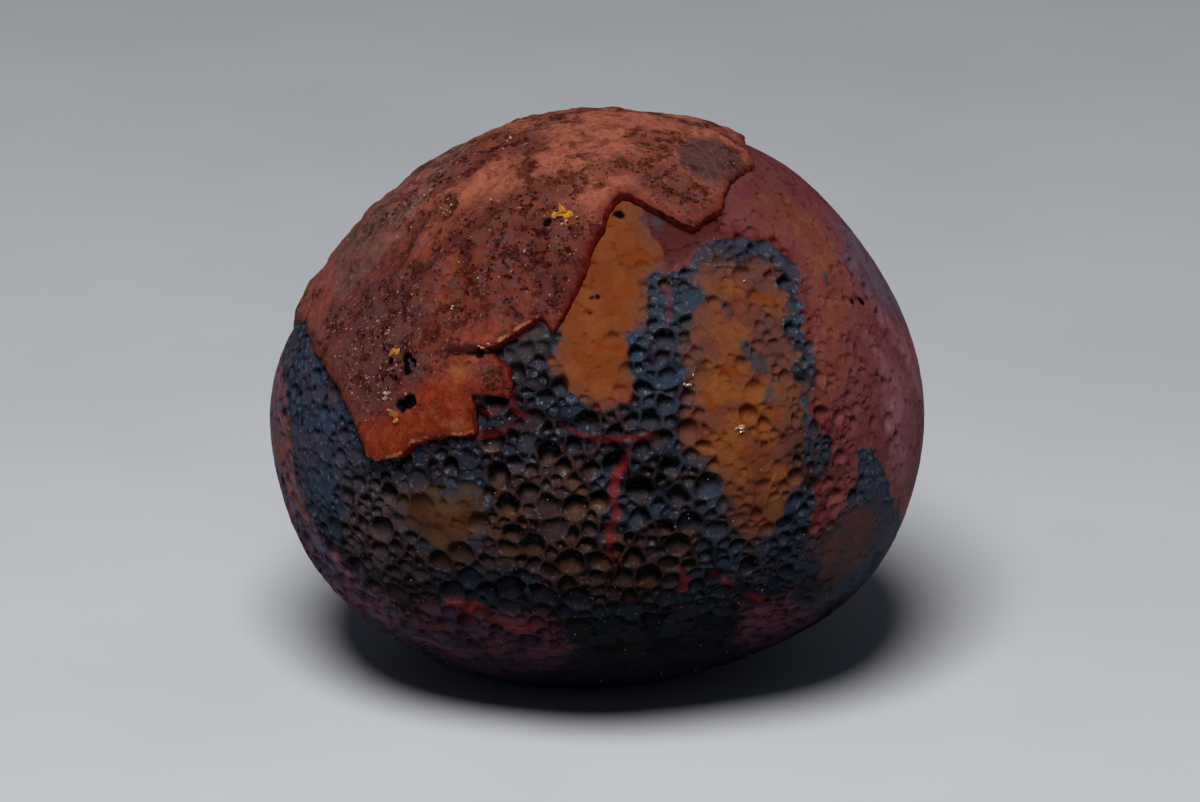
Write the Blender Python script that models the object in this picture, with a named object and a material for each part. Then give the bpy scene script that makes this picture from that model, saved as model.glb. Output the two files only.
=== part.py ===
"""Agate nodule: one rounded, pitted stone that still carries a broken patch of its outer rind.

Metres, +Z up. The origin is under the middle of the stone, on the surface it rests on. The stone is
described along a sight line that comes from the front (-Y) and above: "across" runs to the right of
that line, "up" square to both, and the side that looks back along the line is the near side.
"""

import math

import bmesh
import bpy
import numpy as np
from mathutils import Vector

MM = 0.001

# The stone's own form
OUTLINE_MM = (  # radius every 20 degrees, anticlockwise from the right, square to the sight line
    30.1, 28.9, 28.0, 27.2, 26.3, 25.6, 25.6, 25.9, 27.3,
    29.5, 30.1, 29.8, 28.0, 26.9, 26.3, 27.1, 29.1, 30.2,
)
NEAR_DEPTH = 26.5 * MM  # from the middle to the near side, along the sight line
FAR_DEPTH = 26.0 * MM
SIGHT_ELEVATION = math.radians(20)
MIDDLE = np.array((0.0, -0.3, 25.2)) * MM  # the underside is worn flat this far below the middle
SWELL_HEIGHT = 0.22 * MM  # broad, soft unevenness of the whole surface
SWELL_WAVES = 9
SWELL_SEED = 5

# The rind: (across, up, thickness) in millimetres at each corner of its broken edge
RIND_EDGE_NEAR_MM = (
    (-26.1, 7.0, 0.9), (-25.7, 5.6, 0.9), (-25.1, 4.2, 0.9), (-24.2, 3.5, 0.9),
    (-22.4, 0.9, 0.9), (-21.6, -0.3, 0.9), (-20.5, -2.8, 0.9), (-19.6, -4.9, 1.0),
    (-18.8, -5.2, 1.0), (-16.9, -4.9, 1.0), (-15.8, -3.8, 1.0), (-13.2, -3.0, 0.9),
    (-10.1, -3.0, 0.8), (-10.5, -0.1, 0.6), (-7.4, -0.5, 0.4), (-7.3, 0.8, 0.5),
    (-7.7, 2.5, 0.6), (-9.4, 4.3, 0.9), (-8.6, 4.5, 1.1), (-5.6, 6.5, 1.0),
    (-4.7, 7.0, 0.9), (-3.8, 5.8, 0.8), (-2.7, 7.9, 0.8), (-1.9, 9.6, 0.9),
    (-1.3, 11.4, 1.0), (-0.7, 13.4, 1.0), (0.3, 14.8, 1.0), (0.7, 16.4, 0.9),
    (1.8, 18.0, 1.0), (2.9, 17.6, 1.0), (6.0, 15.7, 1.1), (8.0, 14.8, 1.0),
    (8.6, 15.0, 0.9), (10.6, 16.5, 0.8), (11.1, 18.0, 0.7), (11.5, 19.1, 0.6),
    (12.6, 19.9, 0.5), (13.8, 20.9, 0.4), (13.5, 22.0, 0.5), (13.0, 22.9, 0.7),
)
RIND_EDGE_FAR_MM = (  # the same corners on the far side, still measured across and up from the front
    (13.4, 24.0, 0.8), (13.8, 20.8, 0.8), (11.6, 18.2, 0.8), (12.6, 14.9, 0.9),
    (9.6, 12.2, 0.9), (10.4, 9.0, 0.8), (7.2, 7.4, 0.7), (5.8, 3.6, 0.8), (1.8, 4.6, 0.9),
    (-1.6, 7.4, 1.0), (-4.8, 5.0, 0.9), (-6.0, 0.8, 0.8), (-10.2, -0.6, 0.8),
    (-13.0, 2.4, 0.9), (-16.4, 0.6, 0.9), (-18.2, -3.2, 0.8), (-22.0, -2.6, 0.8),
    (-24.2, 1.8, 0.9), (-26.6, 4.4, 0.9),
)
RIND_THICKNESS = 0.9 * MM
RIND_LUMP = 0.22 * MM  # how far the rind's own surface rolls up and down
EDGE_STEP = 1.5 * MM  # spacing of the points along the rind's edge
EDGE_WALL = 0.16 * MM  # half the run of the rind's broken wall
RIND_GRID = 2.4 * MM  # spacing of the points on the rind's surface

# The pits: (across, up, reach, depth as a share of reach), reach being a pit's radius in millimetres
PIT_ZONES_NEAR_MM = (
    (-26.5, -3.0, 0.85, 0.46), (-20.0, -10.0, 1.05, 0.62), (-10.0, -16.0, 1.15, 0.64),
    (-14.0, -10.5, 1.10, 0.20), (-5.0, -5.0, 1.05, 0.54), (0.0, -12.0, 1.20, 0.62),
    (8.0, -16.0, 1.15, 0.58), (0.0, -23.0, 1.15, 0.50), (-20.0, -19.0, 1.00, 0.54),
    (-5.5, 2.5, 0.95, 0.46), (1.0, 6.0, 1.10, 0.20), (2.5, 15.0, 1.10, 0.10),
    (5.5, 4.0, 0.95, 0.50), (13.0, 2.0, 1.10, 0.28), (14.0, 9.0, 0.95, 0.24),
    (12.5, 13.8, 0.80, 0.42), (17.5, 5.0, 0.85, 0.40), (8.0, 12.5, 0.85, 0.18),
    (18.0, 19.0, 0.80, 0.30), (22.0, 6.0, 0.75, 0.40), (28.0, 4.0, 0.90, 0.20),
    (21.5, -5.0, 0.75, 0.48), (15.0, -12.0, 1.00, 0.50), (24.5, -14.0, 1.05, 0.14),
    (16.0, -20.0, 1.00, 0.42),
)
PIT_ZONES_FAR_MM = (
    (22.0, 8.0, 0.90, 0.32), (20.0, -8.0, 1.05, 0.48), (8.0, -18.0, 1.20, 0.56),
    (-4.0, -10.0, 1.25, 0.58), (-18.0, -12.0, 1.15, 0.54), (4.0, -2.0, 1.10, 0.26),
    (16.0, 16.0, 0.90, 0.34), (-26.0, -4.0, 0.95, 0.48),
)
ZONE_SPREAD = 3.6 * MM  # how far a zone's values carry
PIT_SIZE_SPAN = (1.30, 0.72)  # largest and smallest pit of a zone, against its reach
PIT_CLOSENESS = 0.82  # neighbours stand this share of their two reaches apart, so their rims meet
PIT_TRIES = 30000
PIT_SEED = 11
RIM_LIFT = 0.05 * MM  # the crests between pits stand this far proud
UNTANGLE_ROUNDS = 6

STONE_COLOUR = (0.10, 0.055, 0.045, 1.0)
STONE_ROUGHNESS = 0.5

ACROSS = np.array((1.0, 0.0, 0.0))
UP = np.array((0.0, math.sin(SIGHT_ELEVATION), math.cos(SIGHT_ELEVATION)))
NEAR = np.array((0.0, -math.cos(SIGHT_ELEVATION), math.sin(SIGHT_ELEVATION)))


def unit(vectors):
    return vectors / np.linalg.norm(vectors, axis=-1, keepdims=True)


def random_directions(count, seed):
    return unit(np.random.default_rng(seed).normal(size=(count, 3)))


def outline_radius(angle):
    """The outline's radii joined by the smoothest periodic curve through them."""
    terms = np.fft.rfft(OUTLINE_MM) / len(OUTLINE_MM)
    orders = np.arange(len(terms))
    weights = np.where((orders == 0) | (orders * 2 == len(OUTLINE_MM)), 1, 2)
    waves = np.exp(1j * np.multiply.outer(angle, orders))
    return (waves @ (terms * weights)).real * MM


def swells(directions):
    """A sum of broad waves running in fixed directions, from -1 to 1 or so."""
    axes = random_directions(SWELL_WAVES, SWELL_SEED)
    total = np.zeros(directions.shape[:-1])
    for number, axis in enumerate(axes):
        total += np.sin((4 + number) * (directions @ axis) + number * 2.4)
    return total / math.sqrt(SWELL_WAVES)


def smooth_radius(directions):
    """Distance from the middle to the stone's surface before pits and rind: an ellipse in depth on
    every radius of the outline, with soft swells."""
    across, up, near = (directions @ axis for axis in (ACROSS, UP, NEAR))
    outline = outline_radius(np.arctan2(up, across))
    depth = np.where(near > 0, NEAR_DEPTH, FAR_DEPTH)
    radius = 1 / np.sqrt((across**2 + up**2) / outline**2 + (near / depth) ** 2)
    return radius + SWELL_HEIGHT * swells(directions)


def directions_at(across, up, side):
    """Directions of the surface points that lie at (across, up) on the near (+1) or far (-1) side."""
    flat = np.multiply.outer(across, ACROSS) + np.multiply.outer(up, UP)
    inner, outer = np.zeros(len(flat)), np.full(len(flat), NEAR_DEPTH * 1.5)
    for _ in range(40):
        middle = (inner + outer) / 2
        points = flat + np.multiply.outer(middle * side, NEAR)
        sunk = np.linalg.norm(points, axis=1) < smooth_radius(unit(points))
        inner, outer = np.where(sunk, middle, inner), np.where(sunk, outer, middle)
    return unit(flat + np.multiply.outer(inner * side, NEAR))


def placed(near_rows, far_rows):
    """Directions and remaining columns, in metres, of rows measured across and up in millimetres."""
    near, far = np.array(near_rows), np.array(far_rows)
    directions = [
        directions_at(rows[:, 0] * MM, rows[:, 1] * MM, side)
        for rows, side in ((near, 1), (far, -1))
    ]
    return np.concatenate(directions), np.concatenate((near, far))[:, 2:]


class RindEdge:
    """The closed, broken edge of the rind, with an inside."""

    def __init__(self):
        corners, columns = placed(RIND_EDGE_NEAR_MM, RIND_EDGE_FAR_MM)
        points = corners * smooth_radius(corners)[:, None]
        self.middle = unit(corners.mean(axis=0))
        self.sideways = unit(np.cross(self.middle, NEAR))
        self.corners = self.on_map(corners)
        steps, thickness = [], []
        for start, end, first, last in zip(
            points, np.roll(points, -1, axis=0), columns, np.roll(columns, -1, axis=0)
        ):
            count = max(1, round(np.linalg.norm(end - start) / EDGE_STEP))
            shares = np.arange(count)[:, None] / count
            steps.append(start + (end - start) * shares)
            thickness.append(first + (last - first) * shares)
        self.directions = unit(np.concatenate(steps))
        self.thickness = np.concatenate(thickness)[:, 0] * MM
        along = np.roll(self.directions, -1, axis=0) - np.roll(self.directions, 1, axis=0)
        self.inward = unit(np.cross(self.directions, along))
        probe = unit(self.directions + self.inward * 0.01)
        if self.holds(probe).mean() < 0.5:
            self.inward = -self.inward

    def on_map(self, directions):
        """An equal-area map of the stone, with the rind in its middle."""
        other = np.cross(self.middle, self.sideways)
        spread = np.sqrt(2 / (1.0001 + directions @ self.middle))
        return np.stack(
            (directions @ self.sideways * spread, directions @ other * spread), axis=-1
        )

    def holds(self, directions):
        """True for the directions that pass through the rind."""
        x, y = self.on_map(directions).T
        inside = np.zeros(len(x), bool)
        for (x1, y1), (x2, y2) in zip(self.corners, np.roll(self.corners, -1, axis=0)):
            level = (y1 > y) != (y2 > y)
            inside ^= level & (x < (x2 - x1) * (y - y1) / (y2 - y1 + 1e-12) + x1)
        return inside

    def nearest(self, directions):
        """Distance in metres to the edge, and the number of the nearest edge point."""
        closeness = directions @ self.directions.T
        number = closeness.argmax(axis=1)
        gap = np.arccos(np.clip(closeness.max(axis=1), -1, 1)) * NEAR_DEPTH
        return gap, number

    def row(self, offset):
        """Directions of the edge's points moved inward by this many metres."""
        return unit(self.directions + self.inward * offset / NEAR_DEPTH)


def zone_values(directions):
    """Reach and depth of the pits at each direction, blended from the zones nearby."""
    places, columns = placed(PIT_ZONES_NEAR_MM, PIT_ZONES_FAR_MM)
    gaps = np.arccos(np.clip(directions @ places.T, -1, 1)) * NEAR_DEPTH
    weights = np.exp(-((gaps / ZONE_SPREAD) ** 2) / 2) + 1e-9 / (gaps + MM)
    blended = (weights @ columns) / weights.sum(axis=1, keepdims=True)
    reach = blended[:, 0] * MM
    return reach, blended[:, 1] * reach


def spaced_out(candidates, reaches, closeness):
    """Numbers of the candidates kept when each must clear those before it."""
    kept = np.empty(len(candidates), int)
    count = 0
    angles = reaches * closeness / NEAR_DEPTH
    for number, candidate in enumerate(candidates):
        others = kept[:count]
        apart = np.cos(angles[others] + angles[number])
        if not (candidates[others] @ candidate > apart).any():
            kept[count] = number
            count += 1
    return kept[:count]


def scattered_pits(edge):
    """Directions, reaches and depths of the pits, large ones first, all clear of the rind."""
    directions = random_directions(PIT_TRIES, PIT_SEED)
    reach, depth = zone_values(directions)
    size = np.linspace(*PIT_SIZE_SPAN, PIT_TRIES)
    reach, depth = reach * size, depth * size
    gap, _ = edge.nearest(directions)
    free = ~edge.holds(directions) & (gap > reach + EDGE_WALL)
    directions, reach, depth = directions[free], reach[free], depth[free]
    kept = spaced_out(directions, reach, PIT_CLOSENESS)
    return directions[kept], reach[kept], depth[kept]


def rind_surface_points(edge):
    """Evenly scattered directions on the rind, away from its edge."""
    directions = random_directions(PIT_TRIES, PIT_SEED + 1)
    gap, _ = edge.nearest(directions)
    directions = directions[edge.holds(directions) & (gap > RIND_GRID * 0.55)]
    spacing = np.full(len(directions), RIND_GRID / 2)
    return directions[spaced_out(directions, spacing, 1.0)]


def rind_height(directions, edge):
    """The rind's height over the stone: its edge's thickness there, then its own, rolling surface."""
    gap, number = edge.nearest(directions)
    blend = np.clip(gap / (3 * MM), 0, 1)
    flat = edge.thickness[number] * (1 - blend) + RIND_THICKNESS * blend
    return flat + RIND_LUMP * swells(directions[:, [1, 2, 0]] * 2.2) * blend


def move_to_meeting_point(rim, pit_count):
    """Put a rim vertex where its three pits' cells meet: square to the plane through the pits."""
    pits = [edge.other_vert(rim) for edge in rim.link_edges]
    if all(pit.index < pit_count for pit in pits):
        first, second, third = (pit.co for pit in pits)
        normal = (second - first).cross(third - first).normalized()
        rim.co = normal if normal.dot(first) > 0 else -normal


def turned_over(face):
    first, second, third = (vertex.co for vertex in face.verts)
    return first.cross(second).dot(third) <= 0


def untangle(cage, rims):
    """Move the rim vertices of each face that has turned over to the middle of their neighbours."""
    for _ in range(UNTANGLE_ROUNDS):
        tangled = {v for face in cage.faces if turned_over(face) for v in face.verts}
        for rim in tangled & rims:
            neighbours = [edge.other_vert(rim).co.normalized() for edge in rim.link_edges]
            rim.co = sum(neighbours, Vector()).normalized()


def pitted_cage(sites, pit_count):
    """A closed bmesh on the unit sphere through the sites, with a ring of rim vertices round each of
    the first pit_count of them. The hull of points on a sphere joins each to its neighbours. A face
    with two pits or three gets a rim vertex, and an edge from pit to pit is turned, so that it runs
    from rim to rim."""
    cage = bmesh.new()
    for site in sites:
        cage.verts.new(site)
    bmesh.ops.convex_hull(cage, input=cage.verts[:])
    cage.verts.index_update()
    loose = [vertex for vertex in cage.verts if not vertex.link_faces]
    pit_faces = [face for face in cage.faces if sum(v.index < pit_count for v in face.verts) > 1]
    crossed = [edge for edge in cage.edges if all(v.index < pit_count for v in edge.verts)]
    rims = bmesh.ops.poke(cage, faces=pit_faces)["verts"]
    for rim in rims:
        move_to_meeting_point(rim, pit_count)
    for edge in crossed:
        bmesh.utils.edge_rotate(edge)
    untangle(cage, set(rims))
    return cage, loose


def build_nodule():
    edge = RindEdge()
    pits, reach, depth = scattered_pits(edge)
    rind = rind_surface_points(edge)
    top_row, foot_row = edge.row(EDGE_WALL), edge.row(-EDGE_WALL)
    weighted_pits = pits / np.cos(reach / NEAR_DEPTH)[:, None]
    sites = np.concatenate((weighted_pits, foot_row, top_row, rind))
    height = np.concatenate(
        (-depth, np.zeros(len(foot_row)), edge.thickness, rind_height(rind, edge))
    )
    cage, loose = pitted_cage(sites, len(pits))
    directions = unit(np.array([v.co for v in cage.verts]))
    lift = np.full(len(directions), RIM_LIFT)
    lift[: len(height)] = height
    points = MIDDLE + directions * (smooth_radius(directions) + lift)[:, None]
    points[:, 2] = points[:, 2].clip(0)
    for vertex, point in zip(cage.verts, points):
        vertex.co = point
    bmesh.ops.delete(cage, geom=loose, context="VERTS")
    bmesh.ops.recalc_face_normals(cage, faces=cage.faces[:])
    mesh = bpy.data.meshes.new("agate_nodule")
    cage.to_mesh(mesh)
    cage.free()
    return mesh


def stone_material():
    material = bpy.data.materials.new("pitted_agate")
    material.use_nodes = True
    shader = material.node_tree.nodes["Principled BSDF"]
    shader.inputs["Base Color"].default_value = STONE_COLOUR
    shader.inputs["Roughness"].default_value = STONE_ROUGHNESS
    shader.inputs["Metallic"].default_value = 0.0
    return material


def main():
    for thing in list(bpy.data.objects):
        bpy.data.objects.remove(thing)
    collection = bpy.data.collections.new("agate_nodule")
    bpy.context.scene.collection.children.link(collection)
    mesh = build_nodule()
    mesh.materials.append(stone_material())
    collection.objects.link(bpy.data.objects.new("agate_nodule", mesh))


main()
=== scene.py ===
import itertools
import math

import bmesh
import bpy
import numpy as np
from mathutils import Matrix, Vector
from mathutils.geometry import delaunay_2d_cdt


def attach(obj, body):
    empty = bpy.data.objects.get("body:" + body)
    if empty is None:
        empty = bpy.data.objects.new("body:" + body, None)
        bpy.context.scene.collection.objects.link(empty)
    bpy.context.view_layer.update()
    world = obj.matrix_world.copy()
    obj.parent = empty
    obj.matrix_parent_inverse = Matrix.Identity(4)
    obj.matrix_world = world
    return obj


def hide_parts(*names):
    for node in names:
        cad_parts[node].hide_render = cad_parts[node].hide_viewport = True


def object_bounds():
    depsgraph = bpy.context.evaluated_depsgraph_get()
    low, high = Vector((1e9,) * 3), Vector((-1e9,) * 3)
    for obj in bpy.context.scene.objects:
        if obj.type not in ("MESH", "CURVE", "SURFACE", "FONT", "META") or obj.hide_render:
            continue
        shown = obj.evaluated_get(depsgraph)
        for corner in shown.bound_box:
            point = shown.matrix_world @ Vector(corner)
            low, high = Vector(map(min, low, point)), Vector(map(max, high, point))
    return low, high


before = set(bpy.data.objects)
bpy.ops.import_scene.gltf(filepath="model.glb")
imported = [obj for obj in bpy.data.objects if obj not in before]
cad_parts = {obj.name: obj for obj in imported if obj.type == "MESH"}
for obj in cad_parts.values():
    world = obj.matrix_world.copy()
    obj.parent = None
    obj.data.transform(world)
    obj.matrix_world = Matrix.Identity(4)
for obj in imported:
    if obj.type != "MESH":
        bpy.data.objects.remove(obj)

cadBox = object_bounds()
mm = 0.001
solid = "agate_nodule"

# The stone's smooth form, the same as the solid's. All of it is in millimetres. "Across" runs to the
# right and "up" square to it, both square to a sight line that looks down on the front of the stone.
form = {
    "outline": (  # radius every 20 degrees, anticlockwise from the right
        30.1, 28.9, 28.0, 27.2, 26.3, 25.6, 25.6, 25.9, 27.3,
        29.5, 30.1, 29.8, 28.0, 26.9, 26.3, 27.1, 29.1, 30.2,
    ),
    "nearDepth": 26.5,
    "farDepth": 26.0,
    "sightElevation": 20.0,
    "middle": (0.0, -0.3, 25.2),
    "meanRadius": 27.3,
    "swellHeight": 0.22,
    "swellWaves": 9,
    "swellTurn": (4, 2.4),  # radians the first wave turns through in a radius, and the phase between waves
    "swellSeed": 5,
}
sight = math.radians(form["sightElevation"])
acrossAxis = np.array((1.0, 0.0, 0.0))
upAxis = np.array((0.0, math.sin(sight), math.cos(sight)))
nearAxis = np.array((0.0, -math.cos(sight), math.sin(sight)))
middle = np.array(form["middle"])


# Each vector divided by its length.
def unit(vectors):
    return vectors / np.linalg.norm(vectors, axis=-1, keepdims=True)


# The product of each vector with the one beside it.
def dots(first, second):
    return np.einsum("ij,ij->i", first, second)


# A normal for each triangle, as long as twice its area.
def normalsOf(points, triangles):
    first, second, third = (points[triangles[:, k]] for k in range(3))
    return np.cross(second - first, third - first)


# The uphill direction on a round stone at each outward direction, as long as the slope there.
def uphillAt(directions):
    return np.array((0.0, 0.0, 1.0)) - directions[:, 2:] * directions


# Smooth noise from -1 to 1: a scrambled value at each whole-number corner, eased from corner to corner.
def latticeNoise(points, seed):
    cell = np.floor(points).astype(np.int64)
    share = points - cell
    share = share * share * (3 - 2 * share)
    total = np.zeros(len(points))
    for corner in itertools.product((0, 1), repeat=3):
        key = (cell + corner) @ np.array((73856093, 19349663, 83492791)) + seed * 1013904223
        key = ((key ^ (key >> 13)) * 1274126177) & 0xFFFFFFFF
        key = ((key ^ (key >> 15)) * 2246822519) & 0xFFFFFFFF
        weight = np.prod(np.where(corner, share, 1 - share), axis=1)
        total += weight * (key >> 8 & 0xFFFF) / 0xFFFF
    return total * 2 - 1


# Octaves of noise at 1, 2, 4 ... times the frequency, each half as strong as the one before.
def layeredNoise(points, seed, octaves=3):
    layers = [latticeNoise(points * 2**k, seed + k) / 2**k for k in range(octaves)]
    return sum(layers) / (2 - 0.5 ** (octaves - 1))


# The outline's radii joined by the smoothest periodic curve through them.
def outlineRadius(angle):
    radii = np.array(form["outline"])
    terms = np.fft.rfft(radii) / len(radii)
    orders = np.arange(len(terms))
    weights = np.where((orders == 0) | (orders * 2 == len(radii)), 1, 2)
    return (np.exp(1j * np.multiply.outer(angle, orders)) @ (terms * weights)).real


# Distance from the middle to the smooth surface: an ellipse in depth on every radius of the outline,
# plus soft swells, which are sine waves that run in fixed directions, each a little tighter than the last.
def smoothRadius(directions):
    across, up, near = (directions @ axis for axis in (acrossAxis, upAxis, nearAxis))
    depth = np.where(near > 0, form["nearDepth"], form["farDepth"])
    outline = outlineRadius(np.arctan2(up, across))
    radius = 1 / np.sqrt((across**2 + up**2) / outline**2 + (near / depth) ** 2)
    axes = unit(np.random.default_rng(form["swellSeed"]).normal(size=(form["swellWaves"], 3)))
    turn, phase = form["swellTurn"]
    waves = [np.sin((turn + k) * (directions @ axis) + k * phase) for k, axis in enumerate(axes)]
    return radius + form["swellHeight"] * sum(waves) / math.sqrt(form["swellWaves"])


halvings = 36
wellOutside = form["nearDepth"] * 1.5


# Directions of the surface points at (across, up) on the near (+1) or far (-1) side, by halving the
# stretch between the middle plane and a place well outside the stone.
def directionsAt(across, up, side):
    flat = np.multiply.outer(across, acrossAxis) + np.multiply.outer(up, upAxis)
    inner, outer = np.zeros(len(flat)), np.full(len(flat), wellOutside)
    for _ in range(halvings):
        half = (inner + outer) / 2
        points = flat + np.multiply.outer(half * side, nearAxis)
        sunk = np.linalg.norm(points, axis=1) < smoothRadius(unit(points))
        inner, outer = np.where(sunk, half, inner), np.where(sunk, outer, half)
    return unit(flat + np.multiply.outer(inner * side, nearAxis))


# Directions and the remaining columns of rows that are measured across and up on the two sides.
def placed(nearRows, farRows=()):
    directions, columns = [], []
    for rows, side in ((nearRows, 1), (farRows, -1)):
        if len(rows):
            table = np.array(rows, float)
            directions.append(directionsAt(table[:, 0], table[:, 1], side))
            columns.append(table[:, 2:])
    return np.concatenate(directions), np.concatenate(columns)


# An equal-area map of the skin about one direction: distance on the map is the mean radius times
# twice the sine of half the angle. The place opposite the middle is kept just short of endless.
class SkinMap:
    def __init__(self, centre):
        self.centre = unit(centre)
        aslant = nearAxis + 0.3 * acrossAxis  # any direction but the centre's own
        self.right = unit(np.cross(self.centre, aslant))
        self.top = np.cross(self.centre, self.right)

    # Places on the map of directions.
    def flat(self, directions):
        spread = form["meanRadius"] * np.sqrt(2 / (1.0001 + directions @ self.centre))
        return np.stack((directions @ self.right * spread, directions @ self.top * spread), axis=-1)

    # Directions of places on the map, the same formula turned about.
    def round(self, places):
        x, y = places.T / form["meanRadius"]
        square = x * x + y * y
        outward = np.sqrt(1 - square / 4)
        parts = ((1 - square / 2, self.centre), (x * outward, self.right), (y * outward, self.top))
        return unit(sum(np.multiply.outer(size, axis) for size, axis in parts))


# Signed distance to a closed outline on a map, positive inside: the least distance to a side, and
# inside where a level ray crosses the outline an odd number of times.
def insideDistance(places, corners):
    x, y = places.T
    least = np.full(len(places), np.inf)
    inside = np.zeros(len(places), bool)
    for (x1, y1), (x2, y2) in zip(corners, np.roll(corners, -1, axis=0)):
        runX, runY = x2 - x1, y2 - y1
        share = np.clip(((x - x1) * runX + (y - y1) * runY) / (runX**2 + runY**2 + 1e-12), 0, 1)
        least = np.minimum(least, (x - x1 - share * runX) ** 2 + (y - y1 - share * runY) ** 2)
        level = (y1 > y) != (y2 > y)
        inside ^= level & (x < runX * (y - y1) / (runY + 1e-12) + x1)
    return np.sqrt(least) * np.where(inside, 1, -1)


# Signed distance, in mm along the skin, to a patch whose corners are rows on the two sides.
def patchField(directions, nearRows, farRows=()):
    corners, _ = placed(nearRows, farRows)
    skin = SkinMap(corners.mean(axis=0))
    return insideDistance(skin.flat(directions), skin.flat(corners))


strokeReach = 50.0  # beyond this far from its rods, a stroke's field stays the same


# Half-width less distance to a chain of rods, each thinning from one row's half-width to the next's.
def strokeField(directions, rows):
    table = np.array(rows, float)
    knots = directionsAt(table[:, 0], table[:, 1], 1) * form["meanRadius"]
    points = directions * form["meanRadius"]
    best = np.full(len(points), -strokeReach)
    for start, end, startWidth, endWidth in zip(knots, knots[1:], table[:, 2], table[1:, 2]):
        run = end - start
        share = np.clip((points - start) @ run / (run @ run + 1e-9), 0, 1)
        gap = np.linalg.norm(points - start - np.multiply.outer(share, run), axis=1)
        width = startWidth + share * (endWidth - startWidth)
        best = np.maximum(best, width - gap)
    return best


# A mesh piece at the origin, in metres, with one number for each named field at every point, or at
# every corner of every triangle.
def makePiece(name, points, triangles, fields, material):
    low, high = (np.array(corner) for corner in cadBox)
    mesh = bpy.data.meshes.new(name)
    mesh.from_pydata(np.clip(points * mm, low, high), [], triangles.tolist())
    for fieldName, values in fields.items():
        domain = "POINT" if len(values) == len(points) else "CORNER"
        layer = mesh.attributes.new(fieldName, "FLOAT", domain)
        layer.data.foreach_set("value", np.asarray(values, np.float32))
    mesh.shade_smooth()
    mesh.materials.append(material)
    piece = bpy.data.objects.new(name, mesh)
    bpy.context.scene.collection.objects.link(piece)
    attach(piece, "root")
    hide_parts(solid)
    print(name, len(mesh.vertices), "points", len(mesh.polygons), "triangles")
    return piece


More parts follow.
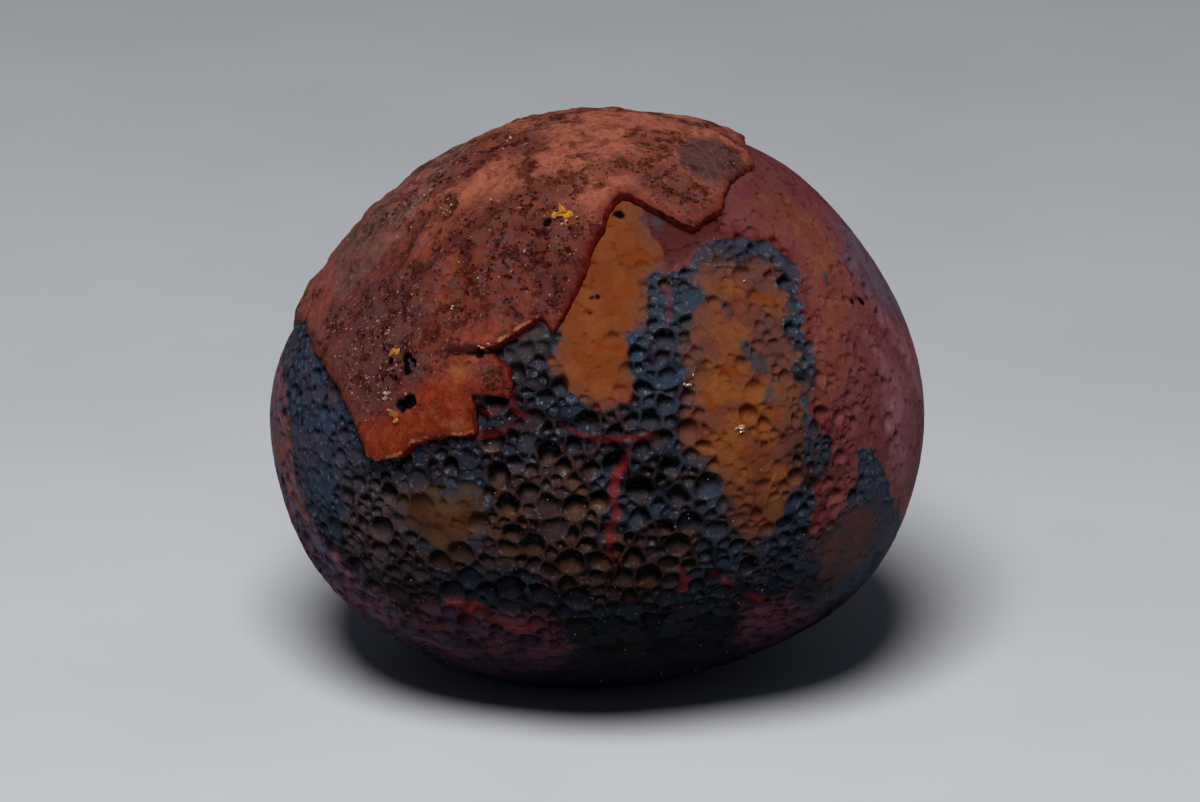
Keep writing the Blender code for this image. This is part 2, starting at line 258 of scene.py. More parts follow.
# across, up, reach and depth as a share of reach, where reach is a pit's radius
pitting = {
    "near": (
        (-28, 0, 0.45, 0.3), (-26.5, -5, 0.52, 0.33), (-22.5, -4, 0.52, 0.41), (-20, -10, 0.68, 0.52),
        (-24, -12, 0.64, 0.5), (-14, -5.5, 0.68, 0.46), (-15, -15, 0.76, 0.56), (-20, -18, 0.76, 0.54),
        (-9, -16, 0.9, 0.56), (-13, -10.3, 0.74, 0.1), (-8, -7, 0.72, 0.5), (-3, -7, 0.81, 0.5),
        (-5, -12, 0.81, 0.52), (0.5, -5, 0.89, 0.56), (6.5, -4.8, 0.89, 0.6), (4.5, -8.5, 0.76, 0.56),
        (0, -13, 0.84, 0.56), (6, -12.5, 0.72, 0.54), (9.5, -9.5, 0.72, 0.54), (10.5, -14, 0.72, 0.54),
        (-3, -18, 0.89, 0.52), (3, -19, 0.81, 0.46), (0, -23.5, 0.76, 0.34), (-8.5, -22, 0.68, 0.38),
        (9, -20, 0.72, 0.42), (-6.3, 2.5, 0.74, 0.4), (-3, -1.8, 0.63, 0.42), (0, 4, 0.71, 0.12),
        (1.5, 10, 0.63, 0.13), (3, 15.5, 0.57, 0.08), (4.5, 3, 0.63, 0.46), (6.6, -0.8, 0.67, 0.5),
        (6, 8.5, 0.52, 0.42), (12, 9.5, 0.67, 0.26), (12.5, 4.5, 0.71, 0.28), (12, -1, 0.67, 0.17),
        (12.5, -6.5, 0.63, 0.3), (14.5, -9, 0.6, 0.38), (16, -2.5, 0.57, 0.4), (12.5, 13.2, 0.58, 0.5),
        (17.6, 5.5, 0.49, 0.4), (8.5, 14.6, 0.39, 0.22), (15, 18.5, 0.52, 0.2), (19.5, 14.5, 0.49, 0.26),
        (20, 7, 0.47, 0.32), (23.5, 2.5, 0.49, 0.3), (24.5, 12, 0.57, 0.16), (28.5, 2, 0.67, 0.1),
        (21, -3, 0.4, 0.48), (20, -8, 0.45, 0.5), (25.5, -4, 0.52, 0.26), (17, -12, 0.6, 0.5),
        (14, -17.5, 0.6, 0.46), (23.2, -13, 0.74, 0.05), (20, -18, 0.63, 0.34),
    ),
    "far": (
        (22, 8, 1.01, 0.28), (26, -4, 1.07, 0.26), (20, -10, 1.17, 0.42), (8, -18, 1.31, 0.48),
        (-4, -10, 1.36, 0.5), (-14, -13, 1.31, 0.24), (-22, -9, 1.13, 0.46), (5, -4, 1.24, 0.24),
        (10, 4, 1.13, 0.34), (16, 16, 1.01, 0.26), (-27, -3, 0.89, 0.38), (0, -22, 1.31, 0.36),
    ),
    "spread": 2.6,  # how far a row's values carry
    "hidden": (2.4, 0.0),  # reach and depth share under the rind
    "hiddenFrom": 1.6,  # the skin is hidden from this far inside the rind's edge
    "largest": 1.9,
    "smallest": 0.44,
    "closeness": 0.82,  # neighbours stand this share of their two reaches apart
    "rounds": 42,
    "throws": (40, 1.12),  # how many in the first round, and how it grows from round to round
    "seed": 24,
    # share of pits left almost flat: the first, less the second times the depth share, at most the third
    "flatShare": (1.55, 3.2, 0.8),
    "depthLuck": (1.75, 0.03, 0.7),  # gain, least and power of a pit's chance depth
    "depthLimit": 1.1,  # greatest depth, as a share of half the cell's narrowest width
    "lean": 0.7,  # how far a pit's short way may turn from uphill, in radians
    "bowl": 2.6,  # power of the bowl's curve: 2 is a parabola, more has steeper walls
    "browSteepness": 1.1,  # how much the power grows uphill and falls downhill
    "squash": (-0.15, 0.40),  # from and to: how much shorter pits are than wide, as a power of e
    "cellWeight": 0.85,  # how strongly a pit's reach pushes its borders outward
    "steps": (0.45, 0.80),  # where a pit's floor is cut on the way out to its rim
    "clearance": 0.14,  # a pit's middle is at least this far inside its cell
    "brokenRims": 0.75,  # how far a rim may be worn down, as a share of the pit's depth
    "colourPull": (0.6, 0.35),  # how far points inside a cell take their colour from its middle
    "warp": (0.21, 1.3, 3),  # sideways waviness of the whole pattern, its length and its seed
    "colourWarp": (0.35, 1.1, 5),  # the same for the colours' edges
    "grain": (0.045, 0.7, 31),  # height, length and seed of the fine roughness
}


# Reach and depth share of the pits at each direction: the rows, weighted by nearness. The second,
# tiny weight counts only where no row is near.
def pitSizes(directions):
    places, columns = placed(pitting["near"], pitting["far"])
    gaps = np.arccos(np.clip(directions @ places.T, -1, 1)) * form["meanRadius"]
    weights = np.exp(-((gaps / pitting["spread"]) ** 2) / 2) + 1e-7 / (gaps + 1) ** 2
    return ((weights @ columns) / weights.sum(axis=1, keepdims=True)).T


# Throw pits on the skin in rounds, large ones first, and keep those that clear all kept before.
def throwPits(underRind):
    generator = np.random.default_rng(pitting["seed"])
    kept, keptReach, keptDepth = np.empty((0, 3)), np.empty(0), np.empty(0)
    first, growth = pitting["throws"]
    most, fall, limit = pitting["flatShare"]
    gain, least, power = pitting["depthLuck"]
    for k, size in enumerate(np.linspace(pitting["largest"], pitting["smallest"], pitting["rounds"])):
        thrown = unit(generator.normal(size=(int(first * growth**k), 3)))
        reach, share = pitSizes(thrown)
        hidden = underRind(thrown)
        reach = np.where(hidden, pitting["hidden"][0], reach * size)
        depth = reach * np.where(hidden, pitting["hidden"][1], share)
        angle = reach * pitting["closeness"] / form["meanRadius"]
        keptAngle = keptReach * pitting["closeness"] / form["meanRadius"]
        clear = ~(thrown @ kept.T > np.cos(angle[:, None] + keptAngle)).any(axis=1)
        thrown, reach, depth, angle = thrown[clear], reach[clear], depth[clear], angle[clear]
        clash = np.tril(thrown @ thrown.T > np.cos(angle[:, None] + angle), -1).any(axis=1)
        flat = np.clip(most - fall * depth / reach, 0, limit)
        luck = np.clip((generator.random(len(depth)) - flat) / (1 - flat), least, 1)
        depth *= gain * luck**power
        kept = np.concatenate((kept, thrown[~clash]))
        keptReach = np.concatenate((keptReach, reach[~clash]))
        keptDepth = np.concatenate((keptDepth, depth[~clash]))
    return kept, keptReach, keptDepth


# The three sides of every triangle: the point each starts at, the point ahead, and the number of the
# same side in the triangle across it.
def sidesOf(triangles, count):
    owner, ahead = triangles.ravel(), np.roll(triangles, -1, axis=1).ravel()
    order = np.argsort(owner * count + ahead)
    return owner, ahead, order[np.searchsorted((owner * count + ahead)[order], ahead * count + owner)]


foldRounds = 12


# The hull of points near a sphere, as rows of three point numbers that turn anticlockwise outside.
# Where two triangles are so flat that the hull is folded inward, their shared side is turned.
def hullTriangles(points):
    mesh = bpy.data.meshes.new("hull")
    mesh.from_pydata(points, [], [])
    hull = bmesh.new()
    hull.from_mesh(mesh)
    bmesh.ops.convex_hull(hull, input=hull.verts[:])
    hull.to_mesh(mesh)
    hull.free()
    corners = np.empty(len(mesh.loops), np.int32)
    mesh.loops.foreach_get("vertex_index", corners)
    bpy.data.meshes.remove(mesh)
    triangles = corners.reshape(-1, 3).astype(int)
    inward = dots(normalsOf(points, triangles), points[triangles[:, 0]]) < 0
    triangles[inward] = triangles[inward][:, ::-1]
    for _ in range(foldRounds):
        owner, ahead, twin = sidesOf(triangles, len(points))
        opposite = np.roll(triangles, -2, axis=1).ravel()
        face = np.arange(len(owner)) // 3
        rise = dots(points[opposite[twin]] - points[owner], normalsOf(points, triangles)[face])
        folded = np.flatnonzero((rise > 0) & (np.arange(len(owner)) < twin))
        pairs = np.stack((face[folded], face[twin[folded]]), axis=1)
        _, earliest = np.unique(pairs.ravel(), return_index=True)
        alone = np.bincount(earliest // 2, minlength=len(folded)) == 2
        folded, pairs = folded[alone], pairs[alone]
        if not len(folded):
            break
        a, b, c, d = owner[folded], ahead[folded], opposite[folded], opposite[twin[folded]]
        triangles[pairs[:, 0]] = np.stack((a, d, c), axis=1)
        triangles[pairs[:, 1]] = np.stack((d, b, c), axis=1)
    return triangles


# A pit's floor: minus its depth times one less (distance / reach) to the bowl's power. The power is
# greater uphill of the pit's middle, so its wall is steep under the brow and runs out gently below.
def bowlHeight(gap, reach, depth, climb):
    power = pitting["bowl"] + pitting["browSteepness"] * climb
    return -depth * np.clip(1 - (gap / reach) ** power, 0, None)


# How far uphill of its pit's middle each point lies, from -1 to 1: the cosine of the angle to the
# uphill direction, times the slope of the stone there.
def uphillShare(directions, pits):
    away = directions - pits
    return dots(away, uphillAt(pits)) / (np.linalg.norm(away, axis=1) + 1e-9)


# How far apart two directions stand on the mean sphere, straight through it, in mm.
def arcGap(first, second):
    return np.linalg.norm(first - second, axis=-1) * form["meanRadius"]


# The pitted skin. Each pit owns the part of the sphere nearest to it (distance squared less reach
# squared), a many-sided cell. Every side of a cell makes, with the pit's middle, one sector, and a
# sector is cut in three along each side into nine facets, whose corners sink by the bowl's curve.
def pittedSkin(pits, reach, depth):
    sites = pits / np.cos(reach * pitting["cellWeight"] / form["meanRadius"])[:, None]
    triangles = hullTriangles(sites)
    count, sides = len(pits), 3 * len(triangles)
    owner, ahead, twin = sidesOf(triangles, count)
    face = np.arange(sides) // 3
    meeting = unit(normalsOf(sites, triangles))  # where three cells meet
    pairs, pairOf = np.unique(np.minimum(np.arange(sides), twin), return_inverse=True)
    nearShare, farShare = pitting["steps"]
    left, right = meeting[face[twin]], meeting[face]

    # a pit whose middle lies outside its own cell, or close to a side, moves to the mean of the corners
    mean = np.zeros((count, 3))
    np.add.at(mean, owner, right)
    turn = dots(pits[owner], np.cross(left, right))
    clearance = pitting["clearance"] / form["meanRadius"] * np.linalg.norm(left - right, axis=1)
    astray = np.unique(owner[turn * np.sign(np.median(turn)) < clearance])
    pits = pits.copy()
    pits[astray] = unit(mean[astray])
    half = np.full(count, np.inf)  # half the width of each cell where it is narrowest
    np.minimum.at(half, owner, arcGap(unit(left + right), pits[owner]))
    depth = np.minimum(depth, half * pitting["depthLimit"])

    generator = np.random.default_rng(pitting["seed"] + 1)
    squash = np.exp(generator.uniform(*pitting["squash"], count))
    lift = unit(uphillAt(pits))
    tilt = generator.uniform(-pitting["lean"], pitting["lean"], count)[:, None]
    short = lift * np.cos(tilt) + np.cross(pits, lift) * np.sin(tilt)

    # a floor's height at each direction, in a pit that is shorter one way than the other
    def sunk(directions, owners):
        home = pits[owners]
        along = dots(directions - home, short[owners]) * form["meanRadius"]
        across = np.sqrt(np.clip(arcGap(directions, home) ** 2 - along**2, 0, None))
        gap = np.hypot(along * squash[owners], across / squash[owners])
        return bowlHeight(gap, reach[owners], depth[owners], uphillShare(directions, home))

    spokes = [unit(pits[owner] * (1 - t) + meeting[face] * t) for t in (nearShare, farShare)]
    rims = [unit(left[pairs] * (1 - t) + right[pairs] * t) for t in (1 / 3, 2 / 3)]
    inner = unit(pits[owner] * (2 - 2 * farShare) + (left + right) * farShare)

    wear = generator.random(len(triangles)) ** 2 * pitting["brokenRims"] * depth[triangles].mean(axis=1)
    meetingHeight = np.mean([sunk(meeting, triangles[:, k]) for k in range(3)], axis=0) - wear
    rimHeights = []
    for rim, t in zip(rims, (1 / 3, 2 / 3)):
        shared = (sunk(rim, owner[pairs]) + sunk(rim, owner[twin[pairs]])) / 2
        rimHeights.append(shared - wear[face[twin[pairs]]] * (1 - t) - wear[face[pairs]] * t)
    spokeMiss = meetingHeight[face] - sunk(meeting[face], owner)
    rimMiss = sum(rimHeights)[pairOf] / 2 - sum(sunk(rim[pairOf], owner) for rim in rims) / 2
    spokeHeights = [sunk(s, owner) + t**3 * spokeMiss for s, t in zip(spokes, (nearShare, farShare))]
    innerHeight = sunk(inner, owner) + farShare**3 * rimMiss

    tone = generator.random(count)

    starts = np.cumsum([0, count, len(triangles), sides, sides, len(pairs), len(pairs)])
    site, corner, spoke1, spoke2, rim1, rim2, inside = starts
    straight = np.arange(sides) == pairs[pairOf]
    spokeBehind = face[twin] * 3 + (twin + 1) % 3  # the same pit's spoke to the corner behind
    a, b, c = site + owner, corner + face[twin], corner + face
    b1, b2 = spoke1 + spokeBehind, spoke2 + spokeBehind
    c1, c2 = spoke1 + np.arange(sides), spoke2 + np.arange(sides)
    r1, r2 = np.where(straight, rim1, rim2) + pairOf, np.where(straight, rim2, rim1) + pairOf
    m = inside + np.arange(sides)
    facets = (
        (a, b1, c1), (b1, b2, m), (b1, m, c1), (c1, m, c2), (b2, b, r1),
        (b2, r1, m), (m, r1, r2), (m, r2, c2), (c2, r2, c),
    )
    directions = np.concatenate((pits, meeting, *spokes, *rims, inner))
    # a point inside a cell takes most of its colour from the pit's middle, so a pit keeps one colour
    home = np.concatenate((pits, meeting, pits[owner], pits[owner], *rims, pits[owner]))
    repeats = (count, len(triangles), sides, sides, 2 * len(pairs), sides)
    near, far = pitting["colourPull"]
    pull = np.repeat((0, 0, near, far, 0, far), repeats)
    # distance inward from the rim at each corner of the nine facets, in reaches
    steps = np.array([1, 1 - nearShare, 1 - farShare, 0])
    rings = (
        (0, 1, 1), (1, 2, 2), (1, 2, 1), (1, 2, 2), (2, 3, 3), (2, 3, 2), (2, 3, 3), (2, 2, 3), (2, 3, 3),
    )
    rimGap = np.repeat(steps[np.array(rings)][:, None], sides, axis=1)
    facets = np.concatenate([np.stack(corners, axis=1) for corners in facets])
    cornerPit = np.repeat(np.tile(owner, 9), 3)
    shell = {
        "directions": directions,
        "heights": np.concatenate((-depth, meetingHeight, *spokeHeights, *rimHeights, innerHeight)),
        "colourPlace": unit(directions * (1 - pull[:, None]) + home * pull[:, None]),
        "facets": facets,
        # painted shade: where the dark crescent under each pit's upper rim lies
        "browShade": browShadeReach(directions[facets.ravel()], pits, reach, depth, tone, cornerPit),
        "tone": tone[cornerPit],
        "rim": rimGap.ravel() * reach[cornerPit],
    }
    return shell


# shape of the painted shade under each pit's upper rim
browShadeShape = {
    "below": 0.7,  # it is measured from this far downhill of the pit's middle, in reaches
    "sideways": 0.8,  # a sideways distance counts this much
    "fullDepth": 0.32,  # depth share from which a pit has its whole brow
    "weakest": 0.6,  # strength of the weakest pit's brow; the strongest has 1
    "fade": 0.9,  # how many reaches a pit with no brow is short
}


# The brow, a painted shade: the dark crescent painted under a pit's upper rim. Its value is the distance
# in reaches from a spot downhill of the pit's middle, less up to the fade where the pit is shallow. It
# passes 1 in the crescent.
def browShadeReach(directions, pits, reach, depth, tone, owners):
    lift = uphillAt(pits)
    slope = np.linalg.norm(lift, axis=1)
    lift /= slope[:, None] + 1e-9
    away = (directions - pits[owners]) * form["meanRadius"] / reach[owners, None]
    sideways = dots(away, np.cross(pits, lift)[owners]) * browShadeShape["sideways"]
    upward = dots(away, lift[owners]) + browShadeShape["below"] * slope[owners]
    luck = browShadeShape["weakest"] + (1 - browShadeShape["weakest"]) * tone
    strength = np.clip(depth / reach / browShadeShape["fullDepth"], 0, 1) * luck
    return np.hypot(sideways, upward) - browShadeShape["fade"] * (1 - strength[owners])


# Sideways waviness: each direction moved by noise, to make round and straight things irregular.
def warped(directions, waviness):
    amount, length, seed = waviness
    places = directions * form["meanRadius"] / length
    shift = np.stack([latticeNoise(places, seed + k) for k in range(3)], axis=1)
    return unit(directions + shift * amount / form["meanRadius"])


# Where each colour of the chalcedony lies: corners across and up, on the near and the far side.
patches = {
    "amber": (
        ((
            (1.5, 19.5), (3.4, 18.5), (4.4, 15), (5.7, 12.9), (5.7, 11.5), (4.5, 10.7), (4.4, 8.6),
            (4.2, 7.1), (3.5, 6), (2.3, 5.5), (2.7, 4.1), (3.2, 1.7), (3.2, 0.1), (1.3, -0.8),
            (0.1, -0.9), (-1.7, 0.1), (-3, 1.3), (-4.3, 3.2), (-3.6, 4.3), (-3.1, 5.3), (-4.2, 6.6),
            (-4, 8.5), (-3, 11), (-2, 14), (-1, 17.5),
        ), ()),
        ((), (
            (-20, -8), (-16, -4.5), (-12, -5), (-9, -8), (-8, -13), (-10, -18), (-14, -20), (-18, -17),
            (-20, -13),
        )),
    ),
    "honey": (
        ((
            (9.5, 11.5), (11.5, 11.8), (14.8, 12.1), (15.7, 11.4), (15.4, 10), (16.8, 8.7), (16.6, 7.7),
            (15.4, 6.8), (16.5, 5.4), (17.4, 4.1), (16.9, 2.4), (18, 0.4), (17.8, -1.4), (17.6, -4),
            (16.9, -4.9), (17.7, -7.1), (16.1, -9.3), (15.6, -11.2), (13.6, -12.4), (12.6, -11.5),
            (11.5, -9.5), (10.7, -6.9), (9.4, -5.3), (7.9, -4.4), (7.7, -2.7), (8.1, 0.1), (8.3, 1.5),
            (7.8, 3.8), (8.4, 6.5), (9.4, 8.2), (10.1, 8.9), (8.9, 10.3),
        ), ()),
        ((), ((3, -2), (7, 1), (11, -1), (12, -6), (9.5, -9), (11, -14), (7, -16), (4, -12), (5, -8))),
    ),
    "olive": (
        ((
            (-17.3, -9), (-15.6, -7.8), (-13.4, -8.5), (-11.2, -8), (-10, -9), (-10.2, -11.2),
            (-12, -12.9), (-13.2, -14.3), (-14.4, -13.3), (-15.4, -11.6), (-16.9, -10.8),
        ), ()),
    ),
    "rose": (
        ((
            (13, 23), (11, 21), (9.5, 19), (9, 17.5), (8, 17.2), (6, 18), (3.8, 18.6), (3.7, 16.8),
            (4.2, 15.6), (4.6, 13.9), (5.7, 12.7), (5.7, 11.3), (8, 11.5), (8.9, 12.5), (9.2, 13.4),
            (10.4, 14.2), (13.1, 14.4), (16, 13.5), (17.7, 11.6), (18.1, 8.7), (18.4, 5.6), (18.9, 4.3),
            (19.2, 1.2), (18.5, -0.8), (18.9, -1.8), (20.8, -3.8), (20.6, -6.3), (19.2, -7),
            (19.4, -9.4), (19, -10.7), (19.6, -12), (20.9, -11.1), (22.3, -9), (23, -6.5), (23.2, -4.5),
            (24.5, -4), (25.7, -6.3), (26.3, -8.2), (27.1, -9.6), (27.6, -11),
        ), (
            (27, -12.5), (23, -12), (19, -8), (20, -3), (16, 1), (18, 6), (13, 9), (10, 13), (11, 18),
            (12, 22),
        )),
    ),
    "crimson": (
        ((
            (10, 15), (14, 15.4), (17.6, 13.6), (19, 10.6), (19.2, 6), (19.8, 2), (20.8, -3), (20.2, -7),
            (20.4, -10.5), (19, -11), (18.6, -6), (18.2, 0), (17.6, 6), (17.2, 11), (15.6, 13), (12, 14),
        ), ()),
    ),
    "russet": (
        ((
            (3.6, 18.4), (6, 16.8), (8.4, 16.4), (10.6, 16.2), (11, 14.6), (8.6, 12.4), (6, 11.2),
            (4.6, 13.6),
        ), ()),
    ),
    "night": (
        ((
            (-9.6, 2.6), (-7.2, 4.4), (-4.9, 3.6), (-3.4, 0.6), (-1, -1.6), (2.4, -2), (6, -3.4),
            (7.4, -6), (4.6, -8.6), (1.6, -8), (-1, -4.2), (-6, -3.4), (-8.4, -7), (-13, -7.4),
            (-19, -8), (-18.8, -4.8), (-12, -3), (-10, 0),
        ), ()),
    ),
    "plum": (
        ((
            (-21.8, -7.5), (-18.6, -6.4), (-16.8, -8), (-16.8, -12.5), (-14.6, -16.5), (-19, -17.8),
            (-22.8, -14),
        ), ()),
    ),
    "dusk": (
        (((9.5, 12), (16.5, 12.5), (16.5, 9.4), (14, 9), (12.6, 10.4), (9.6, 10.6)), ()),
        (((8.2, 9.5), (10.4, 9.4), (10, 6), (9.2, 3), (7.6, 3), (8.2, 6)), ()),
        ((
            (13.4, 7.2), (16.8, 8.2), (17, 5.6), (18, 2), (18.6, -2), (17, -5), (15.8, -2), (15.4, 1),
            (14, 3.4),
        ), ()),
    ),
    "salmon": (
        ((
            (13, 17.5), (17, 18), (20, 16), (21.5, 13), (22, 9), (21.5, 5), (21, 1), (19.8, 0),
            (19.6, 4.5), (19.4, 8.5), (19, 12), (17, 14.8), (14, 15.6),
        ), ()),
        ((), ((22, -4), (24, 4), (20, 8), (17, 2))),
    ),
    "pink": (
        ((
            (24, 9), (26.5, 6), (28, 3), (28.8, -2), (28, -8), (26.5, -8), (26, -3), (25.4, 2),
            (24, 5.5),
        ), (
            (27.5, -8), (28.5, 4),
        )),
    ),
    "umber": (
        ((
            (-9.3, -4), (-6.7, -5.8), (-4.5, -4.6), (0.1, -4.6), (-0.1, -7.5), (0.8, -9.2), (0.4, -12.3),
            (4.6, -10.6), (9, -11.9), (9.5, -14.2), (6, -16.8), (3.8, -18.2), (-0.6, -17.9),
            (-4.6, -17.3), (-5.9, -15.5), (-9.4, -14.2), (-12.5, -15.6), (-15.6, -14.3), (-18.6, -14),
            (-18.9, -12.4), (-16.5, -12.6), (-13.8, -13.8), (-10.3, -11.9), (-9.4, -10.1),
        ), ()),
        ((), ((-2, -1), (2, -6), (0, -14), (-4, -19), (-7, -12), (-6, -4))),
    ),
    "maroon": (
        ((
            (-15.3, -17.9), (-13, -17.7), (-9.5, -18.9), (-5.5, -18.8), (-3.3, -20), (-2, -21.9),
            (-3.3, -24.4), (-8.8, -25.4), (-13.3, -23.9), (-16, -21.7), (-16.7, -19.3),
        ), ()),
        (((13, -18.5), (17, -17.5), (20.5, -19.5), (16, -22.5), (12, -22.5)), ()),
    ),
    "mauve": (
        ((
            (21.4, -11.6), (22.3, -10), (23.9, -9.5), (25.2, -10.3), (25.2, -11.6), (24.6, -13.2),
            (23.4, -15.2), (21.9, -16.3), (20.4, -15.6), (19.8, -14.3), (20.3, -12.8),
        ), ()),
    ),
    "haze": (
        (((-9.4, 3.6), (-8, 4), (-5.6, 5.8), (-4.4, 6), (-4.2, 4.6), (-5.6, 3.6), (-7.6, 2.6)), ()),
    ),
    "azure": (
        ((
            (24.2, -4.6), (25.4, -5.6), (26.4, -8.4), (27.4, -11), (26.6, -13.2), (24.6, -15.8),
            (21.6, -18.2), (17, -20.6), (17.4, -18.6), (21.4, -16.8), (24.2, -13.8), (25.4, -11),
            (24.6, -8.4), (23.2, -6.4),
        ), ()),
        ((
            (-29, 3.5), (-25.6, 4.4), (-22.6, -0.4), (-21.4, -5), (-22.6, -9.6), (-25.6, -11.4),
            (-27.2, -6), (-28, -1),
        ), ()),
    ),
    "ember": (
        (((-29.5, 1.8), (-28.2, 1.4), (-28, -0.2), (-29.6, -0.6)), ()),
        (((-29.6, -2), (-28, -2.2), (-27.4, -4), (-27.8, -5.8), (-29.2, -6.2)), ()),
        (((-27.2, -8.6), (-26.4, -8.8), (-26.2, -10.4), (-27.2, -10.4)), ()),
    ),
    # partly the stone's own pink and blue, partly a painted sheen along the left limb
    "limb": (
        ((
            (-29.5, 5.5), (-28.6, 3), (-28, -2), (-27.2, -7), (-25.4, -11.6), (-22.8, -14.8),
            (-19.2, -17.8), (-15.4, -20.6), (-11, -23.2), (-8, -24.8),
        ), (
            (-11, -24.5), (-17, -21), (-22, -18), (-26.5, -12), (-28.2, -4), (-29, 3),
        )),
    ),
    # painted sheen: a lilac sheen along the right limb
    "lilacSheen": (
        ((
            (20.6, 16.8), (22, 14.2), (22.4, 11.8), (23.9, 9.8), (26, 8), (28.4, 6.4), (29.4, 8),
        ), (
            (28, 8), (26.4, 10.8), (26.6, 13), (24, 12.6), (22.6, 16.4),
        )),
    ),
}

# Strokes of colour on the near side: rows of across, up and half-width.
strokes = {
    "inlet": (  # small bits of slate within other colours
        ((5, 16.4, 0.2), (5.6, 15.8, 0.3)), ((12.9, 4.8, 0.4), (13.9, 3.4, 0.7), (14.6, 2.4, 0.3)),
        ((5, 15.6, 0.2), (5.2, 15.3, 0.2)), ((11, 8.4, 0.3), (11.6, 7.6, 0.4)),
        ((15.4, 1.6, 0.3), (15, 0.2, 0.5)), ((10.5, -8.6, 0.3), (11.4, -9.4, 0.5)),
        ((20.2, 11.2, 0.2), (20.4, 10.6, 0.2)),
    ),
    "fringe": (  # paler slate around the honey
        ((9.2, 12.8, 0.4), (10.6, 13.8, 0.7), (13, 14, 0.7), (16, 13, 0.8), (17.8, 10.8, 0.7),
         (18.2, 7.6, 0.6), (18.8, 3.8, 0.6), (19, 0.6, 0.6), (18.6, -3, 0.6), (18.4, -5.6, 0.5)),
    ),
    "spot": (  # nearly black
        ((1.9, 16.3, 0.42), (2.1, 16.1, 0.42)), ((-0.8, 8.8, 0.16), (0, 8.9, 0.2)),
        ((-0.7, 7.5, 0.14), (-0.6, 7.5, 0.14)), ((23.5, 8.9, 0.32), (23.7, 8.7, 0.32)),
        ((22.7, 8.8, 0.16), (22.8, 8.5, 0.18)), ((-26.4, -2, 0.2), (-26.4, -2.2, 0.2)),
        ((-25.2, 1.2, 0.2), (-25.2, 1, 0.2)),
    ),
    "blot": (  # deep orange in the amber
        ((3.2, 12.3, 0.3), (4.8, 12.5, 0.45)), ((1.2, 9.2, 0.2), (2.9, 9.6, 0.3)),
        ((0.4, 4.6, 0.3), (2.2, 4.2, 0.4)), ((-3.2, 4.8, 0.2), (-2.4, 3.8, 0.3)),
        ((14, 9, 0.3), (15.2, 8.8, 0.4)), ((11, 2.6, 0.4), (12.2, 2.2, 0.3)),
        ((15.6, -0.8, 0.3), (15.8, -1.8, 0.3)), ((9.6, 0.2, 0.3), (10.2, -0.8, 0.3)),
        ((12.6, -4.6, 0.3), (13.8, -5, 0.3)),
    ),
    "flare": (  # bright red streaks low down
        ((-13.4, -18.3, 0.15), (-11.8, -18.4, 0.35), (-10.2, -18.8, 0.25)),
        ((-8, -20.2, 0.15), (-6.4, -20.4, 0.15)),
    ),
    "vein": (  # thin red seams
        ((2.8, -4.7, 0.25), (2.3, -6, 0.35), (1.5, -7.2, 0.5), (1.5, -8.8, 0.4), (1.7, -10.1, 0.4),
         (1.2, -11.4, 0.4), (1.1, -13, 0.3), (1, -14.3, 0.2)),
        ((-13.5, -18.4, 0.3), (-12, -18.5, 0.5), (-10.6, -18.7, 0.5), (-9.5, -19.6, 0.4),
         (-7.7, -20.2, 0.3), (-5.5, -20.5, 0.2)), ((7.3, -15, 0.2), (7.8, -16.1, 0.4), (7.6, -17, 0.4)),
        ((10.4, -15.5, 0.3), (11.5, -16.2, 0.4)), ((13.4, -17.4, 0.3), (14.5, -17.9, 0.4)),
        ((-3.2, -2.3, 0.1), (-1.5, -3, 0.2), (0.3, -3.6, 0.3), (3.7, -3.3, 0.3), (5.5, -3.3, 0.2)),
        ((5.9, 10, 0.3), (6.4, 8.6, 0.3), (6.1, 6.4, 0.15)),
        ((-11.2, -3, 0.2), (-9.8, -3.1, 0.35), (-8.6, -2.9, 0.4), (-7.6, -2.5, 0.2)),
        ((-7.6, 0.3, 0.2), (-7.3, -1, 0.3), (-5.8, -1.7, 0.2)),
        ((-10.6, -0.8, 0.15), (-9.4, -1.2, 0.25), (-8.4, -0.9, 0.15)),
    ),
}


colourReach = 6.0  # beyond this far outside its patches, a colour's field stays the same


# The greatest of a colour's patch distances, and no less than minus its reach.
def colourField(directions, parts):
    fields = [patchField(directions, near, far) for near, far in parts]
    return np.max(fields + [np.full(len(directions), -colourReach)], axis=0)


# The skin: the cells, waved sideways, at the smooth radius plus the pits' heights plus grain, flat
# where they would pass the ground, with a field for every colour.
def makeSkin(rind, material):
    pits, reach, depth = throwPits(lambda places: rind.coverage(places) > pitting["hiddenFrom"])
    print("pits", len(pits))
    shell = pittedSkin(pits, reach, depth)
    moved = warped(shell["directions"], pitting["warp"])
    height, length, seed = pitting["grain"]
    grain = layeredNoise(moved * form["meanRadius"] / length, seed)
    radius = smoothRadius(moved) + shell["heights"] + grain * height
    points = middle + moved * radius[:, None]
    points[:, 2] = points[:, 2].clip(0)
    place = warped(shell["colourPlace"], pitting["colourWarp"])
    fields = {name: colourField(place, parts) for name, parts in patches.items()}
    between = unit(place + moved)
    for name, lines in strokes.items():
        spread = moved if name in ("vein", "flare", "spot") else between
        fields[name] = np.max([strokeField(spread, rows) for rows in lines], axis=0)
    for name in ("browShade", "rim", "tone"):
        fields[name] = shell[name]
    return makePiece("pitted_skin", points, shell["facets"], fields, material)


